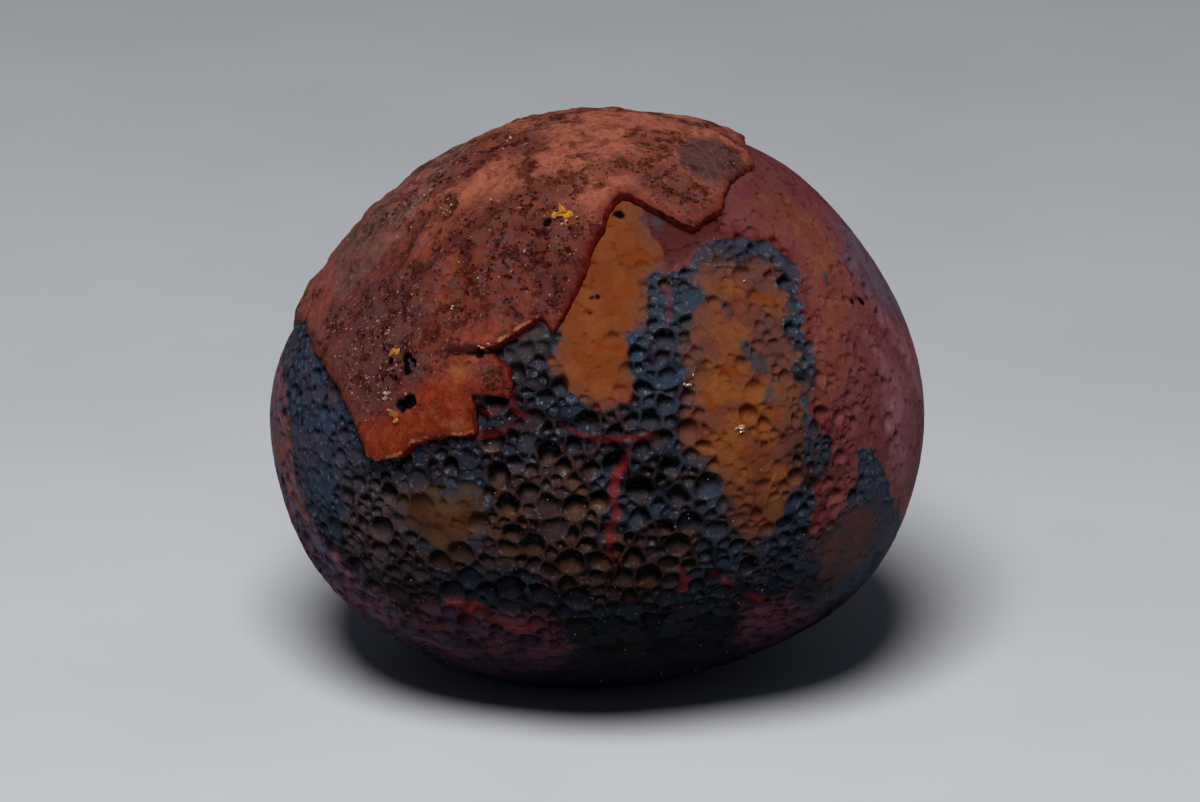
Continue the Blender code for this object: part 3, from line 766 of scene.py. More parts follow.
# across, up, thickness and how far the foot of the broken wall leans out, at each corner of its edge
rindShape = {
    "near": (
        (-26.1, 7, 0.3, 0.1), (-25.7, 5.6, 0.3, 0.1), (-25.1, 4.2, 0.4, 0.1), (-24.2, 3.5, 0.5, 0.1),
        (-22.4, 0.9, 0.7, 0.1), (-21.6, -0.3, 0.9, 0.1), (-20.5, -2.8, 0.9, 0.1), (-19.6, -4.9, 1, 0.1),
        (-18.8, -5.2, 1, 0.1), (-16.9, -4.9, 1, 0.2), (-15.8, -3.8, 1, 0.3), (-13.2, -3, 0.9, 0.3),
        (-10.4, -3, 0.8, 0.2), (-10.8, 0.4, 0.6, 0.1), (-7.7, 0.2, 0.5, 0.1), (-7.5, 1.1, 0.5, 0.2),
        (-7.7, 2.5, 0.6, 0.3), (-9.4, 4.3, 0.9, 0.2), (-8.6, 4.5, 1.1, 0.2), (-5.6, 6.5, 1, 0.2),
        (-4.7, 7, 0.9, 0.2), (-3.7, 5.8, 0.8, 0.2), (-2.7, 7.9, 0.8, 0.3), (-1.9, 9.6, 0.9, 0.5),
        (-1.3, 11.4, 1, 0.6), (-0.7, 13.4, 1, 0.6), (0.3, 14.8, 1, 0.5), (0.7, 16.4, 0.9, 0.5),
        (1.9, 17.8, 1.1, 0.5), (2.9, 17.4, 1.1, 0.1), (6, 15.5, 1.2, -0.3), (8, 14.6, 1.1, 0),
        (8.6, 15, 0.9, 0.3), (10.6, 16.5, 0.8, 0.4), (11.1, 18, 0.7, 0.3), (11.5, 19.1, 0.6, 0.3),
        (12.6, 19.9, 0.5, 0.3), (13.8, 20.9, 0.4, 0.4), (13.5, 22, 0.5, 0.3), (13, 22.9, 0.7, 0.2),
    ),
    "far": (
        (13.4, 24, 0.8, 0.2), (13.8, 20.8, 0.8, 0.2), (11.6, 18.2, 0.8, 0.4), (12.6, 14.9, 0.9, 0.2),
        (9.6, 12.2, 0.9, 0.1), (10.4, 9, 0.8, 0.3), (7.2, 7.4, 0.7, 0.5), (5.8, 3.6, 0.8, 0.2),
        (1.8, 4.6, 0.9, 0.3), (-1.6, 7.4, 1, 0.1), (-4.8, 5, 0.9, 0.2), (-6, 0.8, 0.8, 0.5),
        (-10.2, -0.6, 0.8, 0.4), (-13, 2.4, 0.9, 0.1), (-16.4, 0.6, 0.9, 0.3), (-18.2, -3.2, 0.8, 0.2),
        (-22, -2.6, 0.8, 0.2), (-24.2, 1.8, 0.6, 0.1), (-26.6, 4.4, 0.3, 0.1),
    ),
    "thickness": 0.9,
    "edgeStep": 0.24,  # spacing of the points along the broken edge
    "crinkles": ((0.09, 0.9), (0.035, 0.35)),  # how far the edge wanders, and over what length
    "grid": 0.23,  # spacing of the points on its surface
    "rolls": ((0.22, 4.5), (0.20, 1.7), (0.11, 0.75)),  # height and length of each size of lump
    "furrows": (0.66, 2.6, 0.24),  # slope, spacing and height of the ridges in the furrowed part
    "furrowBend": (3.0, 4.0, 3.0),  # how far they bend, over what length, and where they fade in
    # height and length of the granular parts' grain, and the noise value that leaves the surface as it is
    "grains": (0.13, 0.5, 0.3),
    "lip": 0.07,  # how far the surface drops at the broken edge
    "foot": -0.62,  # the underside, sunk in the stone
    "edgeBlend": 3.0,  # this far in, the edge's own thickness has given way to the common one
    "calmEdge": (0.25, 1.5),  # share of the lumps' height at the edge, and how far in it is whole
    "plainGrain": 0.25,  # the grain's height outside the granular parts, as a share
    "lipWidth": 0.22,
    "holes": (  # across, up, radius and depth
        (-16.1, 2.8, 0.7, 0.85), (-16.3, 3.5, 0.55, 0.7), (-16, -0.2, 0.6, 0.75),
        (-16.8, -0.6, 0.55, 0.75), (-17.7, 3.2, 0.35, 0.5), (-17.3, 1.8, 0.32, 0.45),
        (-4.3, 15.2, 0.42, 0.55), (-18.7, 17.7, 0.7, 0.6), (-18, 18.5, 0.6, 0.5),
        (-21.4, 15.1, 0.5, 0.4), (-12.8, 2.9, 0.45, 0.25), (-10, 3.9, 0.5, 0.45), (-19.6, 3.9, 0.3, 0.3),
        (-8.8, 12, 0.28, 0.3), (-3.6, 10.4, 0.26, 0.3),
    ),
    "cracks": (  # rows of across, up and half-width
        ((-8.6, 4, 0.3), (-10.7, 3.9, 0.22), (-12.4, 3.9, 0.14), (-13.6, 3.1, 0.1), (-14.3, 1.8, 0.1)),
        ((1.5, 21.4, 0.1), (1.5, 20, 0.12), (1.6, 18.9, 0.08)),
        ((-9.9, 0.9, 0.1), (-8.8, 0.8, 0.14), (-7.4, 0.9, 0.12)),
        ((-9.9, 0.2, 0.08), (-8.8, 0.1, 0.12), (-7.4, 0.1, 0.1)),
    ),
    "holeRim": (1.25, 0.6),  # where a hole starts, in radii, and over what share it deepens
    "crack": (0.45, 0.16),  # depth of a crack, and the half-width that gives it
    "ragged": (0.35, 0.5, 0.1),  # how ragged holes are, over what length, and the share for cracks
    "jitter": (0.12, 8),  # how far the grid's points are moved, as a share of its spacing, and the seed
    "gridMargin": 0.7,  # the grid keeps this far from the edge, as a share of its spacing
    "granularFade": 1.2,  # how softly the granular parts begin
    "chip": 0.6,  # length of the broken wall's roughness
    "weld": 1e-7,  # points closer than this on the map are one
    "smoothing": 3,  # rounds of evening out the edge's outward direction
    "trial": 0.4,  # this far outward of the edge most places have to lie off the rind
    "batch": 4000,
    "seeds": {"edge": 41, "wall": 44, "rolls": 50, "furrows": 58, "grains": 60, "holes": 70},
    "underGrid": 2.0,  # spacing of the points of the underside
    "underMargin": 1.2,  # they keep this far from the edge
    # rings of the broken wall from the top edge to the foot: how far out as a share of the lean, how
    # high as a share of the edge's own height, and how rough
    "rings": ((0, 1, 0), (0.3, 0.8, 0.09), (0.55, 0.5, 0.14), (0.85, 0.2, 0.12), (1, -0.2, 0)),
    "furrowed": ((-20, 8), (-12, 9), (-5, 14), (-2, 19), (-3, 25), (-14, 22), (-24, 12)),
}

# Parts of the rind: corners across and up on the near and far side
rindPatches = {
    "granular": (
        ((
            (-18.2, 10.6), (-16.9, 11.2), (-14.7, 10.8), (-13.3, 9.7), (-15.5, 7.6), (-15, 5.9),
            (-13.3, 2.5), (-14.1, 1.6), (-17.2, -0.1), (-19.3, -1.8), (-20.7, -0.9), (-22, 2.1),
            (-21.6, 5.1), (-21.1, 8.5), (-19.5, 10.1),
        ), ()),
        ((
            (-12.2, 15.7), (-10, 17), (-7.9, 17.4), (-5.7, 18.9), (-3.2, 19.1), (-1.9, 17.8),
            (-3.1, 16.9), (-0.6, 15.6), (-0.2, 13.4), (-1.4, 10), (-2.5, 7.3), (-4.4, 7.3), (-8.2, 7.2),
            (-12, 5.8), (-14, 6.4), (-12.6, 8.8), (-12.1, 11.8), (-13.4, 13.6),
        ), ()),
        ((
            (2.8, 20), (5.4, 20.5), (8.8, 18.3), (10.1, 17.4), (9.6, 16.1), (7.9, 15), (6.2, 16.2),
            (4.5, 17.1), (3.7, 18.2),
        ), ()),
        ((
            (-13.7, 20.4), (-10.2, 22.7), (-5.8, 23.6), (-4.5, 22.8), (-4.9, 21.4), (-7.9, 21.1),
            (-11, 19.3), (-13.6, 18), (-17, 15.9), (-19.2, 13.8), (-20.7, 14.3), (-18, 16.9),
        ), ()),
        ((), ((-18, 4), (-8, 6), (-6, 14), (-12, 18), (-20, 12))),
        ((), ((0, 10), (6, 12), (8, 20), (0, 22), (-3, 16))),
    ),
    "orange": (
        ((
            (-15, 1.2), (-13.3, 1.8), (-10.7, 2.4), (-10, 1.6), (-10, -3.4), (-12.4, -3.8), (-15, -4.2),
            (-16.7, -5.6), (-19.4, -6), (-20.9, -3.9), (-21, -2.5), (-19.3, -1.4), (-16.7, -1.1),
            (-15.4, -0.1),
        ), ()),
        ((), ((-12, -1), (-9, -1.5), (-6, 0), (-5, 4), (-9, 5))),
    ),
    "shelf": (
        (((-11.4, 1.6), (-7.9, 1.4), (-7.5, 0.2), (-11.4, -0.2)), ()),
    ),
    "scar": (
        (((-13.6, 4), (-11.6, 4.7), (-9.8, 4.7), (-8.9, 4.2), (-10.2, 3.8), (-12, 3.7)), ()),
    ),
    "flush": (
        (((-27.5, 6.8), (-26.6, 11), (-24.2, 14), (-22.9, 12.6), (-23.2, 9.5), (-24, 5.6)), ()),
        (((-18.4, 17.2), (-16.4, 19.6), (-14.6, 20.2), (-15.4, 17.6), (-17.4, 16.2)), ()),
    ),
    "dusty": (
        ((
            (-27, 9), (-24.5, 13.6), (-19.9, 17.8), (-15.3, 23), (-9.8, 26.5), (-7, 24.7), (-11.6, 21),
            (-15.3, 16.4), (-18, 12.8), (-21.7, 9.1),
        ), ()),
    ),
    "ashen": (
        ((
            (-24, 8.6), (-20, 12), (-15.4, 11.4), (-13.6, 8.4), (-15.6, 5.6), (-14.8, 2.4),
            (-17.4, -0.4), (-20.2, -1.8), (-22.4, 0.8), (-24.6, 4.6),
        ), ()),
    ),
    "gold": (
        (((-12.4, 2.9), (-10.8, 2.9), (-10.9, 1.7), (-12.2, 1.6)), ()),
        (((-12.2, -2.2), (-11.4, -2), (-11.5, -2.8), (-12.3, -2.8)), ()),
    ),
    "litEdge": (
        (((-9.8, 4.9), (-5.6, 7.3), (-4.9, 7.5), (-4.9, 6.6), (-5.6, 6), (-9, 3.9)), ()),
        ((
            (-20, -5.6), (-16.5, -5.4), (-15.4, -3.9), (-9.8, -3.3), (-9.8, -2.6), (-16, -3),
            (-19.8, -4.4),
        ), ()),
    ),
    "grey": (
        ((
            (8.1, 22.4), (10.3, 22.7), (12, 21.6), (13, 20.2), (11.9, 19), (10.1, 18.6), (8.4, 19.2),
            (7.1, 20.1), (7, 21.5),
        ), ()),
        ((), ((-4, 20), (2, 21), (4, 18), (-2, 16))),
    ),
}


# Sideways waviness of the map, the same for all that stand close together, so no line crosses itself.
def edgeWander(places):
    shift = np.zeros(places.shape)
    for size, length in rindShape["crinkles"]:
        points = np.pad(places / length, ((0, 0), (0, 1)))
        seed = rindShape["seeds"]["edge"]
        shift += np.stack([latticeNoise(points, seed + k) for k in range(2)], axis=1) * size
    return shift


# The rind's broken edge as a fine closed line, and the map that its surface is laid out on.
class Rind:
    # The corners joined by points an even step apart, with the wall's values eased between them.
    def __init__(self):
        corners, columns = placed(rindShape["near"], rindShape["far"])
        self.skin = SkinMap(corners.mean(axis=0))
        self.corners = self.skin.flat(corners)
        steps, values = [], []
        nextCorners, nextColumns = (np.roll(rows, -1, axis=0) for rows in (self.corners, columns))
        for start, end, first, last in zip(self.corners, nextCorners, columns, nextColumns):
            share = np.arange(0, 1, rindShape["edgeStep"] / np.linalg.norm(end - start))[:, None]
            steps.append(start + (end - start) * share)
            values.append(first + (last - first) * share)
        edge, self.values = np.concatenate(steps), np.concatenate(values)
        ahead = np.roll(edge, -1, axis=0) - np.roll(edge, 1, axis=0)
        for _ in range(rindShape["smoothing"]):
            ahead = (np.roll(ahead, 1, axis=0) + ahead * 2 + np.roll(ahead, -1, axis=0)) / 4
        self.outward = unit(np.stack((ahead[:, 1], -ahead[:, 0]), axis=1))
        beside = edge + self.outward * rindShape["trial"]
        if (insideDistance(beside, self.corners) > 0).mean() > 0.5:
            self.outward = -self.outward
        self.edge = edge + edgeWander(edge)

    # Distance in mm inside the edge, negative outside.
    def coverage(self, directions):
        return insideDistance(self.skin.flat(directions), self.corners)

    # Nearest point of the fine edge to each place, and how far it is, a batch of places at a time.
    def nearestEdge(self, places):
        number = np.empty(len(places), int)
        gap = np.empty(len(places))
        for part in np.array_split(np.arange(len(places)), len(places) // rindShape["batch"] + 1):
            square = ((places[part, None] - self.edge) ** 2).sum(axis=2)
            number[part] = square.argmin(axis=1)
            gap[part] = np.sqrt(square.min(axis=1))
        return number, gap

    # The rind's top surface over the smooth stone: its thickness, rolling lumps, grain in the
    # granular parts, a drop at the broken edge, and the holes and cracks.
    def topHeight(self, directions, number, gap, granular):
        points, seeds = directions * form["meanRadius"], rindShape["seeds"]
        blend = np.clip(gap / rindShape["edgeBlend"], 0, 1)
        height = self.values[number, 0] * (1 - blend) + rindShape["thickness"] * blend
        lump = np.zeros(len(directions))
        for k, (size, length) in enumerate(rindShape["rolls"]):
            lump += latticeNoise(points / length, seeds["rolls"] + k) * size
        tilt, spacing, furrow = rindShape["furrows"]
        places = points @ acrossAxis * math.sin(tilt) - points @ upAxis * math.cos(tilt)
        bend, length, fade = rindShape["furrowBend"]
        bent = latticeNoise(points / length, seeds["furrows"]) * bend
        waves = np.sin(places * 2 * math.pi / spacing + bent)
        furrowed = patchField(directions, rindShape["furrowed"])
        lump += furrow * waves * np.clip(furrowed / fade, 0, 1)
        least, calm = rindShape["calmEdge"]
        height = height + lump * np.clip(gap / calm, least, 1)
        size, length, level = rindShape["grains"]
        grain = layeredNoise(points / length, seeds["grains"], 2)
        plain = rindShape["plainGrain"]
        height = height + (grain - level) * size * (plain + (1 - plain) * granular)
        height = height - rindShape["lip"] * np.exp(-gap / rindShape["lipWidth"])

        hole = np.zeros(len(directions))
        swing, length, crackShare = rindShape["ragged"]
        ragged = layeredNoise(points / length, seeds["holes"], 2) * swing
        start, slope = rindShape["holeRim"]
        for across, up, radius, depth in rindShape["holes"]:
            centre = directionsAt(np.array([across]), np.array([up]), 1)
            share = arcGap(directions, centre) / radius + ragged
            hole = np.maximum(hole, depth * np.clip(start - share, 0, slope) / slope)
        depth, reach = rindShape["crack"]
        for rows in rindShape["cracks"]:
            width = strokeField(directions, rows) + ragged * crackShare
            hole = np.maximum(hole, np.clip(width / reach, 0, 1) * depth)
        return height - hole, hole, lump


# The rind, a closed shell: the top sheet from an even grid on the map, the rings of the broken wall,
# and a coarse underside in the stone.
def makeRind(rind, material):
    step = rindShape["grid"]
    low, high = rind.edge.min(axis=0), rind.edge.max(axis=0)
    rows = np.arange(low[1], high[1], step * math.sqrt(3) / 2)
    columns = np.arange(low[0], high[0], step)
    grid = np.stack(np.meshgrid(columns, rows), axis=-1)
    grid[1::2, :, 0] += step / 2
    grid = grid.reshape(-1, 2)
    jitter, seed = rindShape["jitter"]
    grid = grid + np.random.default_rng(seed).normal(0, step * jitter, grid.shape)
    number, gap = rind.nearestEdge(grid)
    inside = (insideDistance(grid, rind.corners) > 0) & (gap > step * rindShape["gridMargin"])
    grid = grid[inside]

    count = len(rind.edge)
    lean, rings = rind.values[:, 1], rindShape["rings"]
    chipPlaces = np.pad(rind.edge / rindShape["chip"], ((0, 0), (0, 1)))
    chip = latticeNoise(chipPlaces, rindShape["seeds"]["wall"])
    topPlaces = np.concatenate((rind.edge, grid))
    topDirections = rind.skin.round(topPlaces)
    number, gap = rind.nearestEdge(topPlaces)
    granularField = colourField(topDirections, rindPatches["granular"])
    granular = np.clip(granularField / rindShape["granularFade"] + 0.5, 0, 1)
    topHeight, hole, lump = rind.topHeight(topDirections, number, gap, granular)
    places, heights = [topPlaces], [topHeight]
    for shift, share, rough in rings[1:]:
        places.append(rind.edge + rind.outward * (lean * shift + chip * rough)[:, None])
        heights.append(topHeight[:count] * share)
    places.append(rind.edge)
    heights.append(np.full(count, rindShape["foot"]))

    # the underside: a coarse sheet inside the stone, on the foot ring's own points
    columns, rows = (np.arange(low[k], high[k], rindShape["underGrid"]) for k in range(2))
    coarse = np.stack(np.meshgrid(columns, rows), axis=-1).reshape(-1, 2)
    _, coarseGap = rind.nearestEdge(coarse)
    clear = coarseGap > rindShape["underMargin"]
    coarse = coarse[(insideDistance(coarse, rind.corners) > 0) & clear]
    under = np.concatenate((rind.edge, coarse))

    # points on the map joined to triangles that turn anticlockwise, with the edge kept as sides
    def sheet(flat):
        ring = [(k, (k + 1) % count) for k in range(count)]
        found = delaunay_2d_cdt([Vector(place) for place in flat], ring, [], 1, rindShape["weld"])
        origin = np.array([source[0] for source in found[3]])
        triangles = origin[np.array(found[2])]
        side = flat[triangles]
        turn = np.cross(side[:, 1] - side[:, 0], side[:, 2] - side[:, 0])
        triangles[turn < 0] = triangles[turn < 0][:, ::-1]
        return triangles

    top, bottom = sheet(topPlaces), sheet(under)
    ringStarts = [0] + [len(topPlaces) + count * k for k in range(len(rings))]
    footStart = ringStarts[-1]
    walls = []
    here = np.arange(count)
    there = (here + 1) % count
    for upper, lower in zip(ringStarts, ringStarts[1:]):
        walls.append(np.stack((upper + here, lower + here, lower + there), axis=1))
        walls.append(np.stack((upper + here, lower + there, upper + there), axis=1))
    bottomNumbers = np.concatenate((footStart + here, footStart + count + np.arange(len(coarse))))
    triangles = np.concatenate((top, *walls, bottomNumbers[bottom][:, ::-1]))
    places.append(coarse)
    heights.append(np.full(len(coarse), rindShape["foot"]))
    flat, height = np.concatenate(places), np.concatenate(heights)
    directions = rind.skin.round(flat)
    points = middle + directions * (smoothRadius(directions) + height)[:, None]

    # turn the whole shell if the map was laid left-handed
    if dots(normalsOf(points, top), points[top[:, 0]] - middle).sum() < 0:
        triangles[: len(top)] = triangles[: len(top)][:, ::-1]
        triangles[-len(bottom):] = triangles[-len(bottom):][:, ::-1]
    print("rind ring", count, "grid", len(grid))

    fields = {name: colourField(directions, parts) for name, parts in rindPatches.items()}
    total = len(points)
    fields["edgeGap"] = np.concatenate((gap, np.zeros(total - len(gap))))
    wallShare = np.zeros(total)
    for k, start in enumerate(ringStarts[1:], 1):
        wallShare[start:start + count] = k / len(rings)
    fields["wall"] = wallShare
    fields["hole"] = np.concatenate((hole, np.zeros(total - len(hole))))
    fields["lump"] = np.concatenate((lump, np.zeros(total - len(lump))))
    return makePiece("rind", points, triangles, fields, material)


# Adds nodes to a tree and joins them: an input is either a socket to link or a value to set.
class Graph:
    def __init__(self, tree):
        self.tree = tree

    def add(self, kind, inputs=(), **settings):
        node = self.tree.nodes.new(kind)
        for name, value in settings.items():
            setattr(node, name, value)
        for name, value in dict(inputs).items():
            if isinstance(value, bpy.types.NodeSocket):
                self.tree.links.new(value, node.inputs[name])
            else:
                node.inputs[name].default_value = value
        return node

    def math(self, operation, first, second):
        return self.add("ShaderNodeMath", {0: first, 1: second}, operation=operation).outputs[0]

    def plus(self, first, second):
        return self.math("ADD", first, second)

    def minus(self, first, second):
        return self.math("SUBTRACT", first, second)

    def times(self, first, second):
        return self.math("MULTIPLY", first, second)

    def most(self, first, second):
        return self.math("MAXIMUM", first, second)

    # A value about a half turned into a swing about nothing.
    def swing(self, value, amount):
        return self.times(self.minus(value, 0.5), amount)

    # From the first colour at 0 to the second at 1.
    def mix(self, factor, first, second, blend="MIX"):
        inputs = {0: factor, 6: first, 7: second}
        return self.add("ShaderNodeMix", inputs, data_type="RGBA", blend_type=blend).outputs[2]

    # A colour multiplied by a tone.
    def toned(self, shade, tone):
        return self.mix(1.0, shade, tone, "MULTIPLY")

    def noise(self, place, scale, detail=3.0, roughness=0.55):
        inputs = {"Vector": place, "Scale": scale, "Detail": detail, "Roughness": roughness}
        return self.add("ShaderNodeTexNoise", inputs).outputs["Fac"]

    def cells(self, place, scale):
        return self.add("ShaderNodeTexVoronoi", {"Vector": place, "Scale": scale}).outputs["Distance"]

    def height(self, place):
        return self.add("ShaderNodeSeparateXYZ", {0: place}).outputs["Z"]

    # Eased from toLow to toHigh while the value runs from low to high, and even beyond them.
    def window(self, value, low, high, toLow=0.0, toHigh=1.0):
        inputs = {"Value": value, "From Min": low, "From Max": high, "To Min": toLow, "To Max": toHigh}
        return self.add("ShaderNodeMapRange", inputs, interpolation_type="SMOOTHSTEP").outputs[0]

    def bump(self, height, strength, distance):
        inputs = {"Height": height, "Strength": strength, "Distance": distance}
        return self.add("ShaderNodeBump", inputs).outputs[0]

    def field(self, name):
        return self.add("ShaderNodeAttribute", attribute_name=name).outputs["Fac"]

    def group(self, tree, inputs):
        return self.add("ShaderNodeGroup", inputs, node_tree=tree).outputs

    def join(self, output, target):
        self.tree.links.new(output, target)


# An empty node group with its named inputs and outputs, and a graph to fill it.
def newGroup(name, inputs, outputs):
    tree = bpy.data.node_groups.new(name, "ShaderNodeTree")
    for socketName, kind, value in inputs:
        socket = tree.interface.new_socket(socketName, in_out="INPUT", socket_type=kind)
        if value is not None:
            socket.default_value = value
    for socketName, kind in outputs:
        tree.interface.new_socket(socketName, in_out="OUTPUT", socket_type=kind)
    graph = Graph(tree)
    return graph, graph.add("NodeGroupInput").outputs, graph.add("NodeGroupOutput").inputs


numberKind, colourKind, vectorKind = "NodeSocketFloat", "NodeSocketColor", "NodeSocketVector"


# Mask of a patch: its distance field plus noise, eased from outside to inside over the softness.
def patchMaskGroup():
    inputs = (
        ("Field", numberKind, 0.0), ("Noise", numberKind, 0.5), ("Ragged", numberKind, 1.0),
        ("Softness", numberKind, 0.2),
    )
    graph, given, result = newGroup("patchMask", inputs, (("Mask", numberKind),))
    value = graph.plus(given["Field"], graph.swing(given["Noise"], given["Ragged"]))
    low = graph.times(given["Softness"], -1.0)
    graph.join(graph.window(value, low, given["Softness"]), result["Mask"])
    return graph.tree


# Colour of pitted stone: two tones mottled together, with painted shade: darkening to the shade colour
# from the start to the end of the brow, the crescent under each pit's upper rim, but not on the rim
# itself.
def pittedColourGroup():
    inputs = (
        ("Tone", colourKind, None), ("Mottle", colourKind, None), ("Shade Colour", colourKind, None),
        ("Brow Shade", numberKind, 0.0), ("Start", numberKind, 0.6), ("End", numberKind, 1.4),
        ("Rim", numberKind, 1.0), ("Noise", numberKind, 0.5),
    )
    graph, given, result = newGroup("pittedColour", inputs, (("Colour", colourKind),))
    ground = graph.mix(graph.window(given["Noise"], 0.40, 0.62), given["Tone"], given["Mottle"])
    # painted shade in the brow's crescent, less of it on the rim
    shade = graph.times(graph.window(given["Brow Shade"], given["Start"], given["End"]), given["Rim"])
    graph.join(graph.mix(shade, ground, given["Shade Colour"]), result["Colour"])
    return graph.tree


# Fine grain shared by skin and rind: a tone about 1 for the colour, and a height for the bump.
def grainGroup():
    inputs = (("Place", vectorKind, None), ("Size", numberKind, 2.0), ("Contrast", numberKind, 0.3))
    outputs = (("Tone", numberKind), ("Height", numberKind))
    graph, given, result = newGroup("stoneGrain", inputs, outputs)
    coarse = graph.noise(given["Place"], given["Size"], 4.0, 0.62)
    graph.join(graph.plus(graph.swing(coarse, given["Contrast"]), 1.0), result["Tone"])
    graph.join(coarse, result["Height"])
    return graph.tree
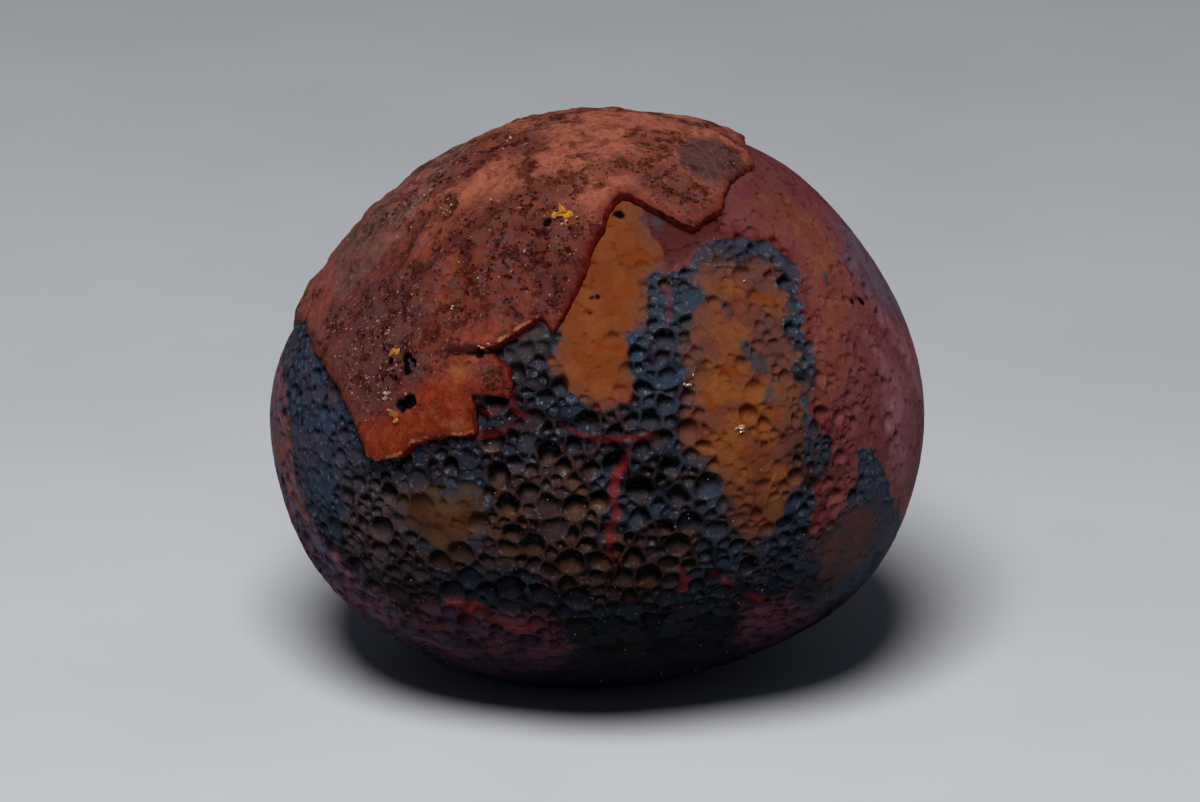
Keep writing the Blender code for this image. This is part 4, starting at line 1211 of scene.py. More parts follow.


# Colours are linear. Each patch has a tone, a second tone mottled into it, and the colour of the painted
# shade in its pits' brows, with where that shade starts and ends.
skinFinish = {
    "slate": ((0.023, 0.034, 0.055), (0.031, 0.026, 0.036), (0.001, 0.001, 0.001), 0.14, 0.84),
    "plum": ((0.056, 0.042, 0.052), (0.078, 0.044, 0.044), (0.001, 0.001, 0.001), 0.08, 0.75),
    "night": ((0.014, 0.016, 0.025), (0.024, 0.016, 0.020), (0.0004, 0.0004, 0.0005), 0.05, 0.74),
    "fringe": ((0.033, 0.038, 0.060), (0.044, 0.032, 0.047), (0.003, 0.002, 0.004), 0.40, 1.20),
    "umber": ((0.042, 0.021, 0.022), (0.078, 0.032, 0.018), (0.001, 0.001, 0.001), 0.02, 0.70),
    "maroon": ((0.126, 0.038, 0.052), (0.066, 0.036, 0.066), (0.016, 0.003, 0.005), -0.10, 0.70),
    "mauve": ((0.088, 0.036, 0.031), (0.059, 0.033, 0.036), (0.014, 0.004, 0.006), 0.45, 1.20),
    "rose": ((0.142, 0.034, 0.038), (0.162, 0.048, 0.044), (0.040, 0.004, 0.005), 0.45, 1.15),
    "crimson": ((0.110, 0.023, 0.022), (0.140, 0.034, 0.032), (0.030, 0.002, 0.003), 0.45, 1.15),
    "russet": ((0.082, 0.017, 0.012), (0.068, 0.018, 0.017), (0.012, 0.001, 0.001), 0.40, 1.10),
    "salmon": ((0.185, 0.058, 0.034), (0.155, 0.040, 0.030), (0.050, 0.004, 0.004), 0.70, 1.20),
    "pink": ((0.260, 0.104, 0.120), (0.192, 0.062, 0.074), (0.045, 0.004, 0.010), 0.60, 1.20),
    # painted sheen along the right limb
    "lilacSheen": ((0.126, 0.078, 0.106), (0.110, 0.043, 0.058), (0.036, 0.008, 0.018), 0.70, 1.30),
    # partly the stone's own colour, partly a painted sheen along the left limb
    "limb": ((0.190, 0.072, 0.094), (0.084, 0.072, 0.120), (0.030, 0.009, 0.016), 0.00, 0.85),
    "ember": ((0.170, 0.054, 0.044), (0.104, 0.044, 0.052), (0.030, 0.005, 0.004), 0.70, 1.50),
    "amber": ((0.138, 0.032, 0.007), (0.164, 0.044, 0.013), (0.080, 0.009, 0.001), 0.45, 1.30),
    "honey": ((0.190, 0.058, 0.016), (0.126, 0.036, 0.018), (0.036, 0.004, 0.001), 0.30, 1.25),
    "dusk": ((0.118, 0.044, 0.026), (0.090, 0.036, 0.030), (0.018, 0.003, 0.002), 0.30, 1.15),
    "olive": ((0.088, 0.040, 0.018), (0.052, 0.019, 0.008), (0.016, 0.004, 0.002), 0.20, 1.10),
    "shore": ((0.060, 0.032, 0.032), (0.085, 0.032, 0.018), (0.006, 0.002, 0.003), 0.50, 1.15),
    "haze": ((0.040, 0.032, 0.032), (0.030, 0.025, 0.029), (0.006, 0.004, 0.005), 0.50, 1.20),
    "inlet": ((0.052, 0.047, 0.052), (0.044, 0.030, 0.034), (0.006, 0.002, 0.003), 0.45, 1.10),
    "underShade": (0.008, 0.006, 0.013),  # the underside, painted near black as shade
    "azure": ((0.022, 0.034, 0.060), (0.038, 0.034, 0.054), (0.001, 0.001, 0.003), 0.35, 1.05),
    "ridgeHighlight": (0.120, 0.130, 0.155),  # painted highlight: a pale colour on the lit ridges of the dark parts
    "vein": (0.135, 0.012, 0.012),
    "flare": (0.300, 0.046, 0.030),
    "blot": (0.170, 0.030, 0.004),
    "spot": (0.002, 0.001, 0.001),
    "edges": {  # how ragged and how soft each patch's edge is, in mm
        "night": (4.0, 1.0), "plum": (5.0, 1.2), "umber": (5.0, 0.7), "azure": (6.0, 1.4),
        "haze": (2.0, 0.8), "maroon": (4.0, 1.0), "fringe": (1.6, 0.5), "rose": (1.4, 0.26),
        "crimson": (4.0, 0.8), "russet": (3.0, 0.7), "salmon": (7.0, 1.4), "pink": (6.0, 1.4),
        "lilacSheen": (7.0, 1.2), "limb": (6.0, 0.7), "mauve": (2.4, 0.9), "ember": (4.0, 0.5),
        "olive": (2.2, 1.1), "honey": (2.0, 0.40), "amber": (1.6, 0.32), "dusk": (6.0, 1.0),
    },
    "strokes": {  # how far each stroke is widened, and how ragged and how soft its edge is
        "blot": (-0.1, 1.2, 0.6), "inlet": (0.05, 2.4, 0.5), "spot": (0.0, 1.0, 0.14),
        "vein": (-0.02, 1.1, 0.3), "flare": (0.0, 1.2, 0.2),
    },
    "shoreEdge": (0.5, 3.0, 0.5),  # the same for the band around the honey
    "margin": (-1.1, 3.0, 0.9, 0.6),  # the same for its dusky margin and the amber's, and its share
    "worn": ("slate", "night", "plum", "umber"),  # where the painted shade on the rims is uneven and pits differ
    "roughness": (0.42, 0.66),
    "lowShade": (0.5, 20.0, 0.14, 1.0),  # from and to height, and the tone there: painted shade, darker towards the base
    "deep": (8.0, 24.0, 0.25, 1.0),  # painted shade too, darker still low down where it is slate or umber
    "shoulder": (43.0, 48.0, 1.0, 0.75),  # the same, a painted shade: the rose beside the rind darker towards the top
    "amberLift": (36.0, 46.0, 1.16, 0.92),  # the same for the amber, which is paler lower down
    "noises": {  # turns per mm, detail, and roughness where it is not the usual
        "broad": (0.16, 3.0), "middling": (0.34, 2.0, 0.45), "ragged": (0.8, 5.0, 0.62),
        "rim": (1.7, 3.0), "worn": (0.55, 3.0), "highlightSpots": (2.4, 3.0, 0.6), "glints": (2.2, 3.0),
    },
    "swings": {"browShade": 0.7, "rim": 0.36, "even": 0.07, "mixed": 0.22},  # how far noise or tone moves each
    # share of a brow's painted shade left on an uneven rim: the last two, as the noise runs between the
    # first two
    "wornLow": (0.42, 0.58, 0.05, 0.60),
    "evenLow": 0.32,  # and on every other rim
    "rimWidth": (0.0, 0.25),  # the shade is whole from here inward
    "umberWash": (0.52, 0.62),  # where umber washes over the slate
    "umberShare": 0.6,
    "veinShade": (1.5, 0.8, 0.45, 0.9),  # veins show less in the brows' painted shade
    "veinHeight": (28.0, 36.0, 1.0, 0.5),  # and higher up
    "flareShade": (1.2, 0.7),
    "highlightSpots": (0.52, 0.66),  # where the painted ridge highlight lies: its noise, brow, height and rim
    "highlightBrow": (0.60, 0.25),
    "highlightHeight": (8.0, 24.0, 0.0, 0.6),
    "highlightRim": (0.5, 0.2, 0.15, 1.0),
    "underShadeHeight": (12.0, 3.0, 0.0, 0.6),  # the underside's painted shade comes in on the way down
    "glints": (0.56, 0.64),  # where the bright spots are, by noise and by height
    "glintHeight": (14.0, 26.0),
    "glint": 0.16,  # how glassy the scattered bright spots are
    "grain": (2.6, 0.7),  # turns per mm, and contrast
    "grainRough": (0.35, 0.7),  # the grain's heights between which the roughness changes
    "bump": (0.40, 0.0003),  # strength and distance
}


# A new material with its fixed surface values, its graph and inputs, and the place in mm.
def shaded(name, surface):
    material = bpy.data.materials.new(name)
    material.use_nodes = True
    shader = material.node_tree.nodes["Principled BSDF"]
    for socket, value in surface.items():
        shader.inputs[socket].default_value = value
    graph = Graph(material.node_tree)
    place = graph.add("ShaderNodeTexCoord").outputs["Object"]
    place = graph.add("ShaderNodeVectorMath", {0: place, "Scale": 1000.0}, operation="SCALE").outputs[0]
    return material, graph, shader.inputs, place


# A colour with full cover as its fourth number.
def opaque(rgb):
    return (*rgb, 1.0)


# The skin's colour: the dark stone with painted shade in the pits' brows, then each patch laid over it by
# its mask, the strokes, the grain, a painted highlight on the dull ridges, and painted shade towards the
# ground.
def skinMaterial(groups):
    surface = {"IOR": 1.54, "Specular IOR Level": 0.014, "Coat Roughness": 0.17}
    material, graph, sockets, place = shaded("chalcedony", surface)
    finish, swings = skinFinish, skinFinish["swings"]

    def noise(name):
        return graph.noise(place, *finish["noises"][name])

    # a field plus a swing, so its limits wander
    def moved(field, by, name):
        return graph.plus(field, graph.swing(by, swings[name]))

    middling, ragged = noise("middling"), noise("ragged")
    height, tone = graph.height(place), graph.field("tone")
    # the brows: where the painted shade under each pit's upper rim lies
    browShade = moved(graph.field("browShade"), ragged, "browShade")
    rim = moved(graph.field("rim"), noise("rim"), "rim")
    # how much of the painted shade is left on the rims
    wornLow = graph.window(noise("worn"), *finish["wornLow"])
    evenRim, wornRim = (
        graph.window(rim, *finish["rimWidth"], low, 1.0) for low in (finish["evenLow"], wornLow)
    )
    evenTone, mixedTone = (moved(middling, tone, name) for name in ("even", "mixed"))

    def plain(name):
        return opaque(finish[name])

    # the named patch's tones and mottle, with the painted shade of its brows, and uneven rims where it is
    # one of that kind
    def tones(name):
        first, second, dark, start, end = finish[name]
        worn = name in finish["worn"]
        inputs = {"Tone": opaque(first), "Mottle": opaque(second), "Shade Colour": opaque(dark),
                  "Brow Shade": browShade, "Start": start, "End": end,
                  "Rim": wornRim if worn else evenRim, "Noise": mixedTone if worn else evenTone}
        return graph.group(groups["pittedColour"], inputs)["Colour"]

    # mask of the named field, widened by the offset
    def edge(name, offset, amount, softness):
        inputs = {"Field": graph.plus(graph.field(name), offset), "Noise": ragged,
                  "Ragged": amount, "Softness": softness}
        return graph.group(groups["patchMask"], inputs)["Mask"]

    def patch(name):
        return edge(name, 0.0, *finish["edges"][name])

    def stroke(name):
        return edge(name, *finish["strokes"][name])

    # the dark stone
    umberWash = graph.times(graph.window(noise("broad"), *finish["umberWash"]), finish["umberShare"])
    shade = graph.mix(umberWash, tones("slate"), tones("umber"))
    for name in ("plum", "night", "umber"):
        shade = graph.mix(patch(name), shade, tones(name))
    # painted shade: the dark stone darker still low down
    shade = graph.toned(shade, graph.window(height, *finish["deep"]))

    # the coloured patches, one over the other
    for name in ("azure", "haze", "maroon", "fringe", "rose"):
        shade = graph.mix(patch(name), shade, tones(name))
    for name in ("crimson", "russet", "salmon", "pink"):
        shade = graph.mix(graph.times(patch(name), patch("rose")), shade, tones(name))
    # the lilac patch is a painted sheen, and the limb patch partly one
    for name in ("lilacSheen", "limb", "mauve", "ember", "olive"):
        shade = graph.mix(patch(name), shade, tones(name))
    # painted shade: darker towards the top beside the rind
    shade = graph.toned(shade, graph.window(height, *finish["shoulder"]))

    # the two tongues, duskier at their edges
    shade = graph.mix(edge("honey", *finish["shoreEdge"]), shade, tones("shore"))
    lifted = graph.toned(tones("amber"), graph.window(height, *finish["amberLift"]))
    for name, inside in (("honey", tones("honey")), ("amber", lifted)):
        *marginEdge, share = finish["margin"]
        margin = graph.plus(graph.times(edge(name, *marginEdge), share), 1 - share)
        shade = graph.mix(patch(name), shade, graph.mix(margin, tones("dusk"), inside))
    shade = graph.mix(graph.times(patch("dusk"), patch("honey")), shade, tones("dusk"))

    # blots, inlets, spots, veins and flares
    shade = graph.mix(stroke("blot"), shade, plain("blot"))
    shade = graph.mix(stroke("inlet"), shade, tones("inlet"))
    shade = graph.mix(stroke("spot"), shade, plain("spot"))
    veinFade = graph.times(stroke("vein"), graph.window(browShade, *finish["veinShade"]))
    veinFade = graph.times(veinFade, graph.window(height, *finish["veinHeight"]))
    shade = graph.mix(veinFade, shade, plain("vein"))
    flareFade = graph.times(stroke("flare"), graph.window(browShade, *finish["flareShade"]))
    shade = graph.mix(flareFade, shade, plain("flare"))

    # grain, a painted highlight on the ridges of the dull parts, and painted shade darkening the underside
    size, contrast = finish["grain"]
    grainInputs = {"Place": place, "Size": size, "Contrast": contrast}
    grain = graph.group(groups["stoneGrain"], grainInputs)
    shade = graph.toned(shade, grain["Tone"])
    bright = patch("amber")
    for name in ("honey", "rose", "mauve", "olive"):
        bright = graph.most(bright, patch(name))
    dull = graph.minus(1.0, bright)
    # painted highlight: pale colour on the lit lower rims of the dull parts
    highlightSpots = graph.window(noise("highlightSpots"), *finish["highlightSpots"])
    ridgeHighlight = graph.times(graph.times(highlightSpots, graph.window(browShade, *finish["highlightBrow"])), dull)
    ridgeHighlight = graph.times(ridgeHighlight, graph.window(height, *finish["highlightHeight"]))
    ridgeHighlight = graph.times(ridgeHighlight, graph.window(rim, *finish["highlightRim"]))
    shade = graph.mix(ridgeHighlight, shade, plain("ridgeHighlight"))
    # painted shade: darker towards the ground, and near black on the underside
    shade = graph.toned(shade, graph.window(height, *finish["lowShade"]))
    shade = graph.mix(graph.window(height, *finish["underShadeHeight"]), shade, plain("underShade"))
    graph.join(shade, sockets["Base Color"])

    glints = graph.window(noise("glints"), *finish["glints"])
    glints = graph.times(graph.times(glints, dull), graph.window(height, *finish["glintHeight"]))
    graph.join(graph.times(glints, finish["glint"]), sockets["Coat Weight"])
    rough = graph.window(grain["Height"], *finish["grainRough"], *finish["roughness"])
    graph.join(rough, sockets["Roughness"])
    graph.join(graph.bump(grain["Height"], *finish["bump"]), sockets["Normal"])
    return material


rindFinish = {
    "brick": (0.190, 0.031, 0.015),
    "brickPale": (0.225, 0.050, 0.030),
    "mauve": (0.120, 0.042, 0.038),
    "tawny": (0.205, 0.053, 0.017),
    "crown": (0.266, 0.080, 0.050),
    "flush": (0.215, 0.056, 0.044),
    # painted shade in the hollows of the crust's lumps
    "hollowShade": (0.085, 0.018, 0.015),
    "granular": (0.100, 0.020, 0.013),
    "granularPale": (0.074, 0.031, 0.028),
    "granularTawny": (0.130, 0.030, 0.012),
    "granularDark": (0.045, 0.009, 0.007),
    "pore": (0.026, 0.002, 0.002),
    "orange": (0.148, 0.016, 0.006),
    "orangeLight": (0.194, 0.036, 0.012),
    "grey": (0.082, 0.036, 0.032),
    "ashen": (0.072, 0.029, 0.028),
    "dusty": (0.112, 0.062, 0.054),
    "scar": (0.040, 0.007, 0.006),
    "gold": (0.230, 0.085, 0.026),
    "shelf": (0.148, 0.023, 0.015),
    "blush": (0.080, 0.010, 0.007),
    # painted highlight: the lit line along the lip of the broken edge
    "lip": (0.400, 0.140, 0.052),
    "glass": (0.105, 0.007, 0.005),
    "glassPale": (0.170, 0.024, 0.014),
    # painted shade towards the foot of the broken wall
    "glassFootShade": (0.020, 0.001, 0.001),
    # painted shade: near black in the holes
    "hole": (0.003, 0.001, 0.001),
    # partly pale grains, partly painted glints
    "speck": (0.330, 0.210, 0.180),
    "speckGold": (0.380, 0.140, 0.030),
    "edges": {  # how ragged and how soft each part's edge is, in mm
        "granular": (9.0, 1.6), "orange": (4.0, 0.5), "ashen": (6.0, 1.6), "dusty": (7.0, 1.4),
        "flush": (3.0, 0.8), "scar": (2.4, 0.3), "gold": (3.0, 0.7), "grey": (2.6, 0.6),
        "shelf": (2.0, 0.4), "litEdge": (0.4, 0.2),
    },
    "washes": (  # laid one over the other, each with its share
        ("ashen", 0.55), ("dusty", 0.6), ("flush", 0.7), ("scar", 1), ("gold", 0.6), ("grey", 1),
        ("shelf", 1),
    ),
    "noises": {  # turns per mm, detail and roughness
        "broad": (0.22, 4.0, 0.6), "patchy": (0.46, 4.0, 0.6), "ragged": (0.75, 6.0, 0.68),
        "mottle": (1.1, 5.0, 0.7), "fine": (4.4, 2.0, 0.6), "specks": (2.8, 3.0),
    },
    # a pair is where something comes in, by noise or by a measure in mm; a second pair is from what
    # share to what share
    "brickPaling": (0.40, 0.60),
    "tawnyPatches": (0.44, 0.34),
    "mauvePatches": (0.54, 0.62),
    "hollows": (-0.02, -0.28),
    "hollowShare": 0.8,
    "hollowSwing": 0.6,
    "crownHeight": (42.0, 50.0, 0.0, 0.95),
    "crownPatches": (0.38, 0.52, 0.45, 1.0),
    "granularPaling": (0.44, 0.58),
    "granularTawnyPatches": (0.47, 0.37),
    "granularDarkPatches": (0.47, 0.37),
    "granularDarkShare": 0.65,
    "granularWash": (0.46, 0.58),
    "washShare": 0.75,
    "granularShare": 0.88,
    "orangePaling": (0.42, 0.64),
    "smoothPores": 0.25,  # how much the pores show where the rind is not granular
    "orangePores": (0.0, 1.0, 1.0, 0.35),
    "crowding": (0.5, 1.6),  # how far the fine and the ragged noise crowd the pores
    "finePores": (0.52, 0.66),
    "finePoreShare": 0.55,
    "largePores": (0.27, 0.15),
    "poreSpacing": 1.7,
    "speckPatches": (0.65, 0.69),
    "speckDusting": 0.03,
    "speckGilding": (0.50, 0.58),
    "blushWidth": (1.0, 0.0),
    "blushShare": 0.6,
    "lipHighlightBreaks": (0.44, 0.58),
    "lipHighlightFaint": (0.58, 0.68, 0.0, 0.5),
    "lipHighlightSwing": 0.8,
    "lipWidth": (0.34, 0.06),
    "holeDepth": (0.12, 0.4),
    "glassPaling": (0.44, 0.62, 0.0, 0.7),
    "glassFoot": (0.45, 0.90),
    "wallStart": (0.02, 0.20),
    "grain": (1.4, 1.1),  # turns per mm, and contrast
    "grainRough": (0.3, 0.7, 0.45, 0.75),  # between two of the grain's heights, and from and to
    "wallRough": (0.05, 0.3, 1.0, 0.5),  # the wall and the specks are smoother
    "speckRough": (0.0, 0.8, 1.0, 0.4),
    "relief": (0.4, 0.8, 0.6),  # shares of the grain, the pores and the specks
    "bump": (1.0, 0.00032),  # strength and distance
}


# The rind's colour: the crust and the granular parts mixed by their mask, then washes, pores and specks
# (partly painted glints), the blush and the lip's painted highlight along the edge, the holes with painted
# shade, and the glassy broken wall with painted shade at its foot.
def rindMaterial(groups):
    surface = {"IOR": 1.52, "Specular IOR Level": 0.02}
    material, graph, sockets, place = shaded("rind", surface)
    finish, height = rindFinish, graph.height(place)

    def noise(name):
        return graph.noise(place, *finish["noises"][name])

    # how far the named thing has come in at each value
    def where(value, name):
        return graph.window(value, *finish[name])

    def part(name):
        amount, softness = finish["edges"][name]
        inputs = {"Field": graph.field(name), "Noise": ragged, "Ragged": amount, "Softness": softness}
        return graph.group(groups["patchMask"], inputs)["Mask"]

    # a shade with the named colour laid over it by a share
    def over(shade, share, name):
        return graph.mix(share, shade, opaque(finish[name]))

    patchy, ragged, mottle, fine = (noise(name) for name in ("patchy", "ragged", "mottle", "fine"))

    # the smooth crust: brick, with painted shade in its hollows, and paler on the crown
    crust = over(opaque(finish["brick"]), where(mottle, "brickPaling"), "brickPale")
    crust = over(crust, where(patchy, "tawnyPatches"), "tawny")
    crust = over(crust, where(patchy, "mauvePatches"), "mauve")
    # painted shade: the crust darkened in the hollows between its lumps
    lump = graph.plus(graph.field("lump"), graph.swing(ragged, finish["hollowSwing"]))
    hollowShade = where(lump, "hollows")
    crust = over(crust, graph.times(hollowShade, finish["hollowShare"]), "hollowShade")
    crown = graph.times(where(height, "crownHeight"), where(ragged, "crownPatches"))
    crust = over(crust, crown, "crown")

    # the granular parts
    grainy = over(opaque(finish["granular"]), where(mottle, "granularPaling"), "granularPale")
    grainy = over(grainy, where(patchy, "granularTawnyPatches"), "granularTawny")
    # darker patches, and the painted shade of the hollows
    dark = graph.most(hollowShade, where(ragged, "granularDarkPatches"))
    grainy = over(grainy, graph.times(dark, finish["granularDarkShare"]), "granularDark")
    wash = graph.times(where(noise("broad"), "granularWash"), finish["washShare"])
    granular = graph.most(part("granular"), wash)
    shade = graph.mix(graph.times(granular, finish["granularShare"]), crust, grainy)

    # the orange end and the other washes
    orange = over(opaque(finish["orange"]), where(mottle, "orangePaling"), "orangeLight")
    shade = graph.mix(part("orange"), shade, orange)
    for name, share in finish["washes"]:
        shade = over(shade, part(name) if share == 1 else graph.times(part(name), share), name)

    # pores, and bright specks that are partly pale grains and partly painted glints
    smooth = finish["smoothPores"]
    poreShare = graph.plus(graph.times(granular, 1 - smooth), smooth)
    poreShare = graph.times(poreShare, where(part("orange"), "orangePores"))
    swings = (graph.swing(value, share) for value, share in zip((fine, ragged), finish["crowding"]))
    crowding = graph.plus(*swings)
    finePores = where(graph.minus(fine, crowding), "finePores")
    finePores = graph.times(finePores, finish["finePoreShare"])
    cells = graph.cells(place, finish["poreSpacing"])
    largePores = where(graph.plus(cells, crowding), "largePores")
    pores = graph.times(graph.most(finePores, largePores), poreShare)
    shade = over(shade, pores, "pore")
    dusting = graph.times(graph.most(part("ashen"), part("dusty")), finish["speckDusting"])
    specks = where(graph.plus(noise("specks"), dusting), "speckPatches")
    specks = graph.times(specks, poreShare)
    speckShade = over(opaque(finish["speck"]), where(mottle, "speckGilding"), "speckGold")
    shade = graph.mix(specks, shade, speckShade)

    # the edge with the lip's painted highlight, the holes with painted shade, and the broken wall with
    # painted shade at its foot
    edgeGap, wall = graph.field("edgeGap"), graph.field("wall")
    shade = over(shade, graph.times(where(edgeGap, "blushWidth"), finish["blushShare"]), "blush")
    # painted highlight: the lit lip along the broken edge, broken up by noise
    brokenHighlight = graph.times(part("litEdge"), where(mottle, "lipHighlightBreaks"))
    lit = graph.most(brokenHighlight, where(mottle, "lipHighlightFaint"))
    highlightGap = graph.plus(edgeGap, graph.swing(ragged, finish["lipHighlightSwing"]))
    shade = over(shade, graph.times(where(highlightGap, "lipWidth"), lit), "lip")
    # painted shade: the holes darkened to near black
    shade = over(shade, where(graph.field("hole"), "holeDepth"), "hole")
    glass = over(opaque(finish["glass"]), where(mottle, "glassPaling"), "glassPale")
    # painted shade: the wall darker towards its foot
    glass = over(glass, where(wall, "glassFoot"), "glassFootShade")
    shade = graph.mix(where(wall, "wallStart"), shade, glass)
    size, contrast = finish["grain"]
    grainInputs = {"Place": place, "Size": size, "Contrast": contrast}
    grain = graph.group(groups["stoneGrain"], grainInputs)
    graph.join(graph.toned(shade, grain["Tone"]), sockets["Base Color"])

    rough = where(grain["Height"], "grainRough")
    rough = graph.times(rough, where(wall, "wallRough"))
    rough = graph.times(rough, where(specks, "speckRough"))
    graph.join(rough, sockets["Roughness"])
    grainShare, poreDepth, speckRise = finish["relief"]
    relief = graph.minus(graph.times(grain["Height"], grainShare), graph.times(pores, poreDepth))
    relief = graph.plus(relief, graph.times(specks, speckRise))
    graph.join(graph.bump(relief, *finish["bump"]), sockets["Normal"])
    return material


crystalShape = {
    # across, up, spread, how many, size, height over the smooth stone, and yellowness
    "clusters": (
        (-3.1, 15.9, 0.45, 9, 1.4, 0.85, 1), (-2.5, 15.1, 0.3, 4, 1, 0.85, 0.8),
        (-17.3, 4, 0.2, 3, 1.5, 0.75, 1), (-17.4, -1.4, 0.4, 5, 1.6, 0.75, 1),
        (-17.9, 0.4, 0.35, 5, 1, 0.8, 0.15), (-16.4, 0.5, 0.15, 2, 0.6, 0.85, 0.3),
        (-7.7, 22.8, 0.6, 6, 0.6, 0.85, 0.7), (-17.9, 5.6, 0.3, 5, 0.45, 0.9, 0.3),
        (-6.2, 22.1, 0.25, 3, 0.36, 0.9, 0.2), (-12.2, 7.7, 0.2, 3, 0.36, 0.9, 0.1),
        (-12.8, 16, 0.45, 7, 0.44, 0.9, 0.2), (-9.5, 4.6, 0.3, 4, 0.5, 0.9, 0.9),
        (-6.7, 6.2, 0.25, 3, 0.42, 0.95, 0.7), (11.9, 20.5, 0.15, 2, 0.3, 0.75, 0),
        (12.5, -2.5, 0.34, 9, 0.8, 0.06, 0.5), (7.9, 1.2, 0.3, 4, 0.6, 0.05, 0.1),
        (8.3, 2.1, 0.15, 2, 0.34, 0.02, 0), (12.9, 10.4, 0.05, 1, 0.3, 0.02, 0.1),
        (10.2, 14, 0.1, 2, 0.22, 0.02, 0.2), (8.4, -1, 0.15, 2, 0.26, 0.02, 0),
        (-9.3, -2.6, 0.1, 2, 0.28, 0.02, 0.1), (-21, 1, 0.3, 4, 0.26, 0.9, 0.1),
    ),
    "crowd": 0.6,  # how tightly a cluster keeps to its spread
    "smallestShare": 0.45,  # the smallest grain of a cluster, as a share of its size
    "scattered": 1300,  # loose grains thrown over the whole stone
    "looseSize": (0.07, 0.17),
    "looseYellow": 0.5,
    "edgeMargin": 0.6,  # loose grains keep this far from the rind's edge
    "onRind": 0.9,  # height of the loose grains over the smooth stone
    "onSkin": -0.05,
    "shoulder": 0.45,  # where the points begin, as a share of half the length
    "thinnest": (0.3, 0.3, 0.5),  # widths and length, as shares of the size
    "thickest": (0.6, 0.6, 1.0),
    "uneven": 0.06,  # how far the corners are moved, as a share of the size
    "seed": 77,
}


# One six-sided solid with a point at each end: its points and triangles.
def pointedPrism():
    turn = np.arange(6) * math.pi / 3
    ring = np.stack((np.cos(turn), np.sin(turn), np.zeros(6)), axis=1)
    shoulder = (0, 0, crystalShape["shoulder"])
    here = np.arange(6)
    there = (here + 1) % 6
    triangles = np.concatenate((
        np.stack((here, there, there + 6), axis=1),
        np.stack((here, there + 6, here + 6), axis=1),
        np.stack((here + 6, there + 6, np.full(6, 12)), axis=1),
        np.stack((there, here, np.full(6, 13)), axis=1),
    ))
    return np.concatenate((ring - shoulder, ring + shoulder, ((0, 0, 1), (0, 0, -1)))), triangles


# Quartz grains: the pointed solid, stretched, turned at random and set down many times.
def makeCrystals(rind, material):
    generator = np.random.default_rng(crystalShape["seed"])
    table = np.array(crystalShape["clusters"])
    rows = table[np.repeat(np.arange(len(table)), table[:, 3].astype(int))]
    scatter = generator.normal(size=(len(rows), 2)) * rows[:, 2:3] * crystalShape["crowd"]
    centres = directionsAt(rows[:, 0] + scatter[:, 0], rows[:, 1] + scatter[:, 1], 1)
    size = rows[:, 4] * generator.uniform(crystalShape["smallestShare"], 1.0, len(rows))

    loose = unit(generator.normal(size=(crystalShape["scattered"], 3)))
    depth = rind.coverage(loose)
    clear = np.abs(depth) > crystalShape["edgeMargin"]
    loose, depth = loose[clear], depth[clear]
    looseSize = generator.uniform(*crystalShape["looseSize"], len(loose))
    looseLift = np.where(depth > 0, crystalShape["onRind"], crystalShape["onSkin"])
    looseYellow = generator.uniform(0, crystalShape["looseYellow"], len(loose))
    centres = np.concatenate((centres, loose))
    size = np.concatenate((size, looseSize))
    lift = np.concatenate((rows[:, 5], looseLift))
    yellow = np.concatenate((rows[:, 6], looseYellow))

    solidPoints, solidTriangles = pointedPrism()
    count, corners = len(centres), len(solidPoints)
    thinnest, thickest = crystalShape["thinnest"], crystalShape["thickest"]
    stretch = size[:, None] * generator.uniform(thinnest, thickest, (count, 3)) * 0.5
    first = unit(generator.normal(size=(count, 3)))
    second = unit(np.cross(first, generator.normal(size=(count, 3))))
    frames = np.stack((second, np.cross(first, second), first), axis=1)
    uneven = generator.normal(0, crystalShape["uneven"], (count, corners, 3)) * size[:, None, None]
    local = solidPoints * stretch[:, None] + uneven
    anchors = middle + centres * (smoothRadius(centres) + lift)[:, None]
    points = (np.einsum("nki,nij->nkj", local, frames) + anchors[:, None]).reshape(-1, 3)
    triangles = (solidTriangles + corners * np.arange(count)[:, None, None]).reshape(-1, 3)
    fields = {"yellow": np.repeat(yellow, corners)}
    piece = makePiece("quartz_grains", points, triangles, fields, material)
    piece.data.shade_flat()


crystalFinish = {
    "white": (0.42, 0.30, 0.25),
    "yellow": (0.50, 0.19, 0.022),
    "shade": (0.55, 1.1),  # darkest and lightest tone
    "roughness": 0.22,
}


# Grains between white and yellow by their own yellowness, times a tone from noise.
def crystalMaterial():
    surface = {"IOR": 1.54, "Roughness": crystalFinish["roughness"], "Specular IOR Level": 0.6}
    material, graph, sockets, place = shaded("quartz", surface)
    white, yellow = opaque(crystalFinish["white"]), opaque(crystalFinish["yellow"])
    tint = graph.mix(graph.field("yellow"), white, yellow)
    shade = graph.window(graph.noise(place, 1.6, 2.0), 0.35, 0.65, *crystalFinish["shade"])
    graph.join(graph.toned(tint, shade), sockets["Base Color"])
    return material


studio = {
    "floor": (0.50, 0.52, 0.56),
    "floorSize": 3.0,
    "world": (0.42, 0.48, 0.60),
    "worldStrength": 0.10,
    "key": {"place": (-0.06, -0.28, 0.56), "size": 0.30, "power": 4.6, "colour": (1.0, 0.985, 0.96)},
    "cameraDistance": 500.0,
    "lens": 163.5,
    "aim": (0.275, -0.18),  # across and up from the stone's middle to the picture's middle
}


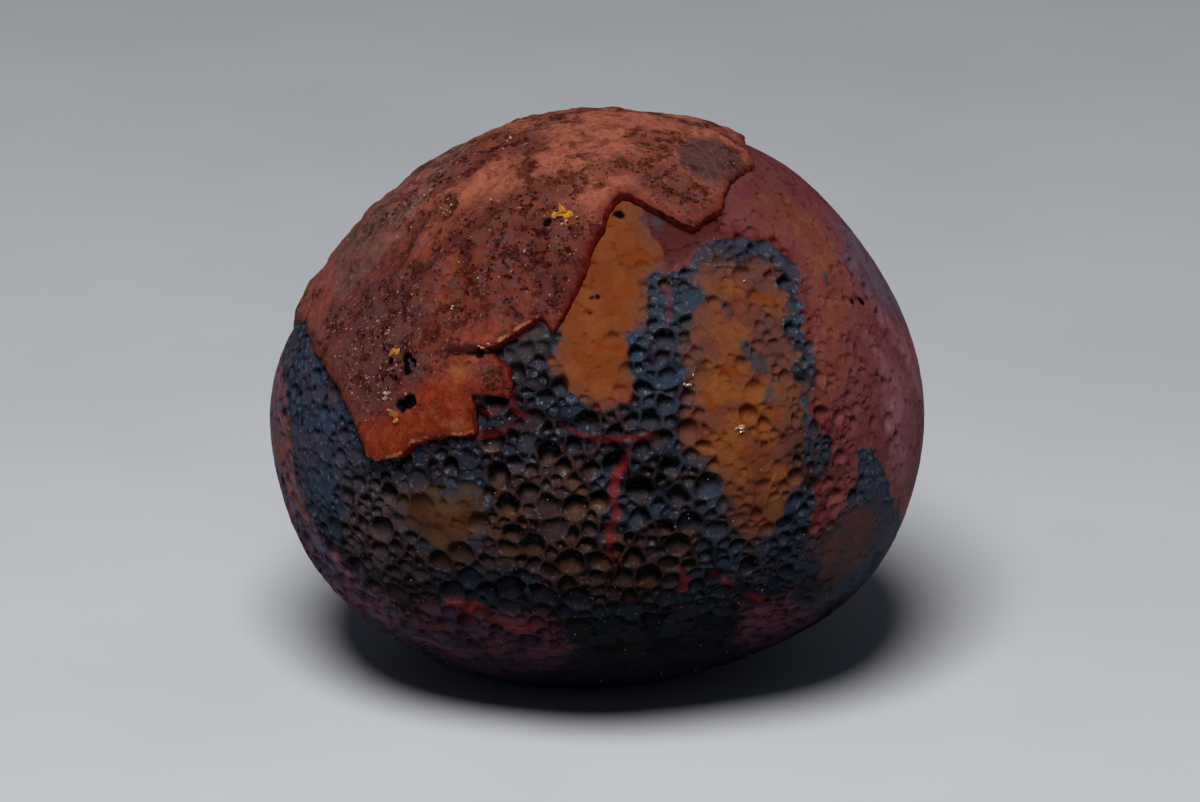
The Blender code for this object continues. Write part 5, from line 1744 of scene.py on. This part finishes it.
# The turn that points a lamp or a camera from one place at another.
def facing(fromPlace, toPlace):
    return (Vector(toPlace) - Vector(fromPlace)).to_track_quat("-Z", "Y").to_euler()


# The floor, the world, one lamp that faces the stone, and the camera on the sight line.
def makeStudio():
    half = studio["floorSize"] / 2
    mesh = bpy.data.meshes.new("floor")
    corners = [(x * half, y * half, 0) for x, y in ((-1, -1), (1, -1), (1, 1), (-1, 1))]
    mesh.from_pydata(corners, [], [(0, 1, 2, 3)])
    material, graph, sockets, place = shaded("floorFinish", {"Roughness": 0.7})
    tone = graph.window(graph.noise(place, 0.02, 3.0), 0.3, 0.7, 0.97, 1.03)
    graph.join(graph.toned(opaque(studio["floor"]), tone), sockets["Base Color"])
    mesh.materials.append(material)
    floor = bpy.data.objects.new("floor", mesh)
    bpy.context.scene.collection.objects.link(floor)

    world = bpy.data.worlds.new("studio")
    world.use_nodes = True
    background = world.node_tree.nodes["Background"].inputs
    background["Color"].default_value = opaque(studio["world"])
    background["Strength"].default_value = studio["worldStrength"]
    bpy.context.scene.world = world

    key = studio["key"]
    light = bpy.data.lights.new("key", "AREA")
    light.shape = "DISK"
    light.size, light.energy, light.color = key["size"], key["power"], key["colour"]
    lamp = bpy.data.objects.new("key", light)
    lamp.location = key["place"]
    lamp.rotation_euler = facing(key["place"], middle * mm)
    bpy.context.scene.collection.objects.link(lamp)

    lens = bpy.data.cameras.new("camera")
    lens.lens, lens.sensor_width, lens.clip_start = studio["lens"], 36.0, 0.01
    camera = bpy.data.objects.new("camera", lens)
    across, up = studio["aim"]
    camera.location = (middle + nearAxis * studio["cameraDistance"]) * mm
    camera.rotation_euler = facing(camera.location, (middle + acrossAxis * across + upAxis * up) * mm)
    bpy.context.scene.collection.objects.link(camera)
    bpy.context.scene.camera = camera
    bpy.context.scene.view_settings.view_transform = "Standard"
    print("studio ready")


groups = {tree.name: tree for tree in (patchMaskGroup(), pittedColourGroup(), grainGroup())}
rind = Rind()
makeSkin(rind, skinMaterial(groups))
makeRind(rind, rindMaterial(groups))
makeCrystals(rind, crystalMaterial())
makeStudio()
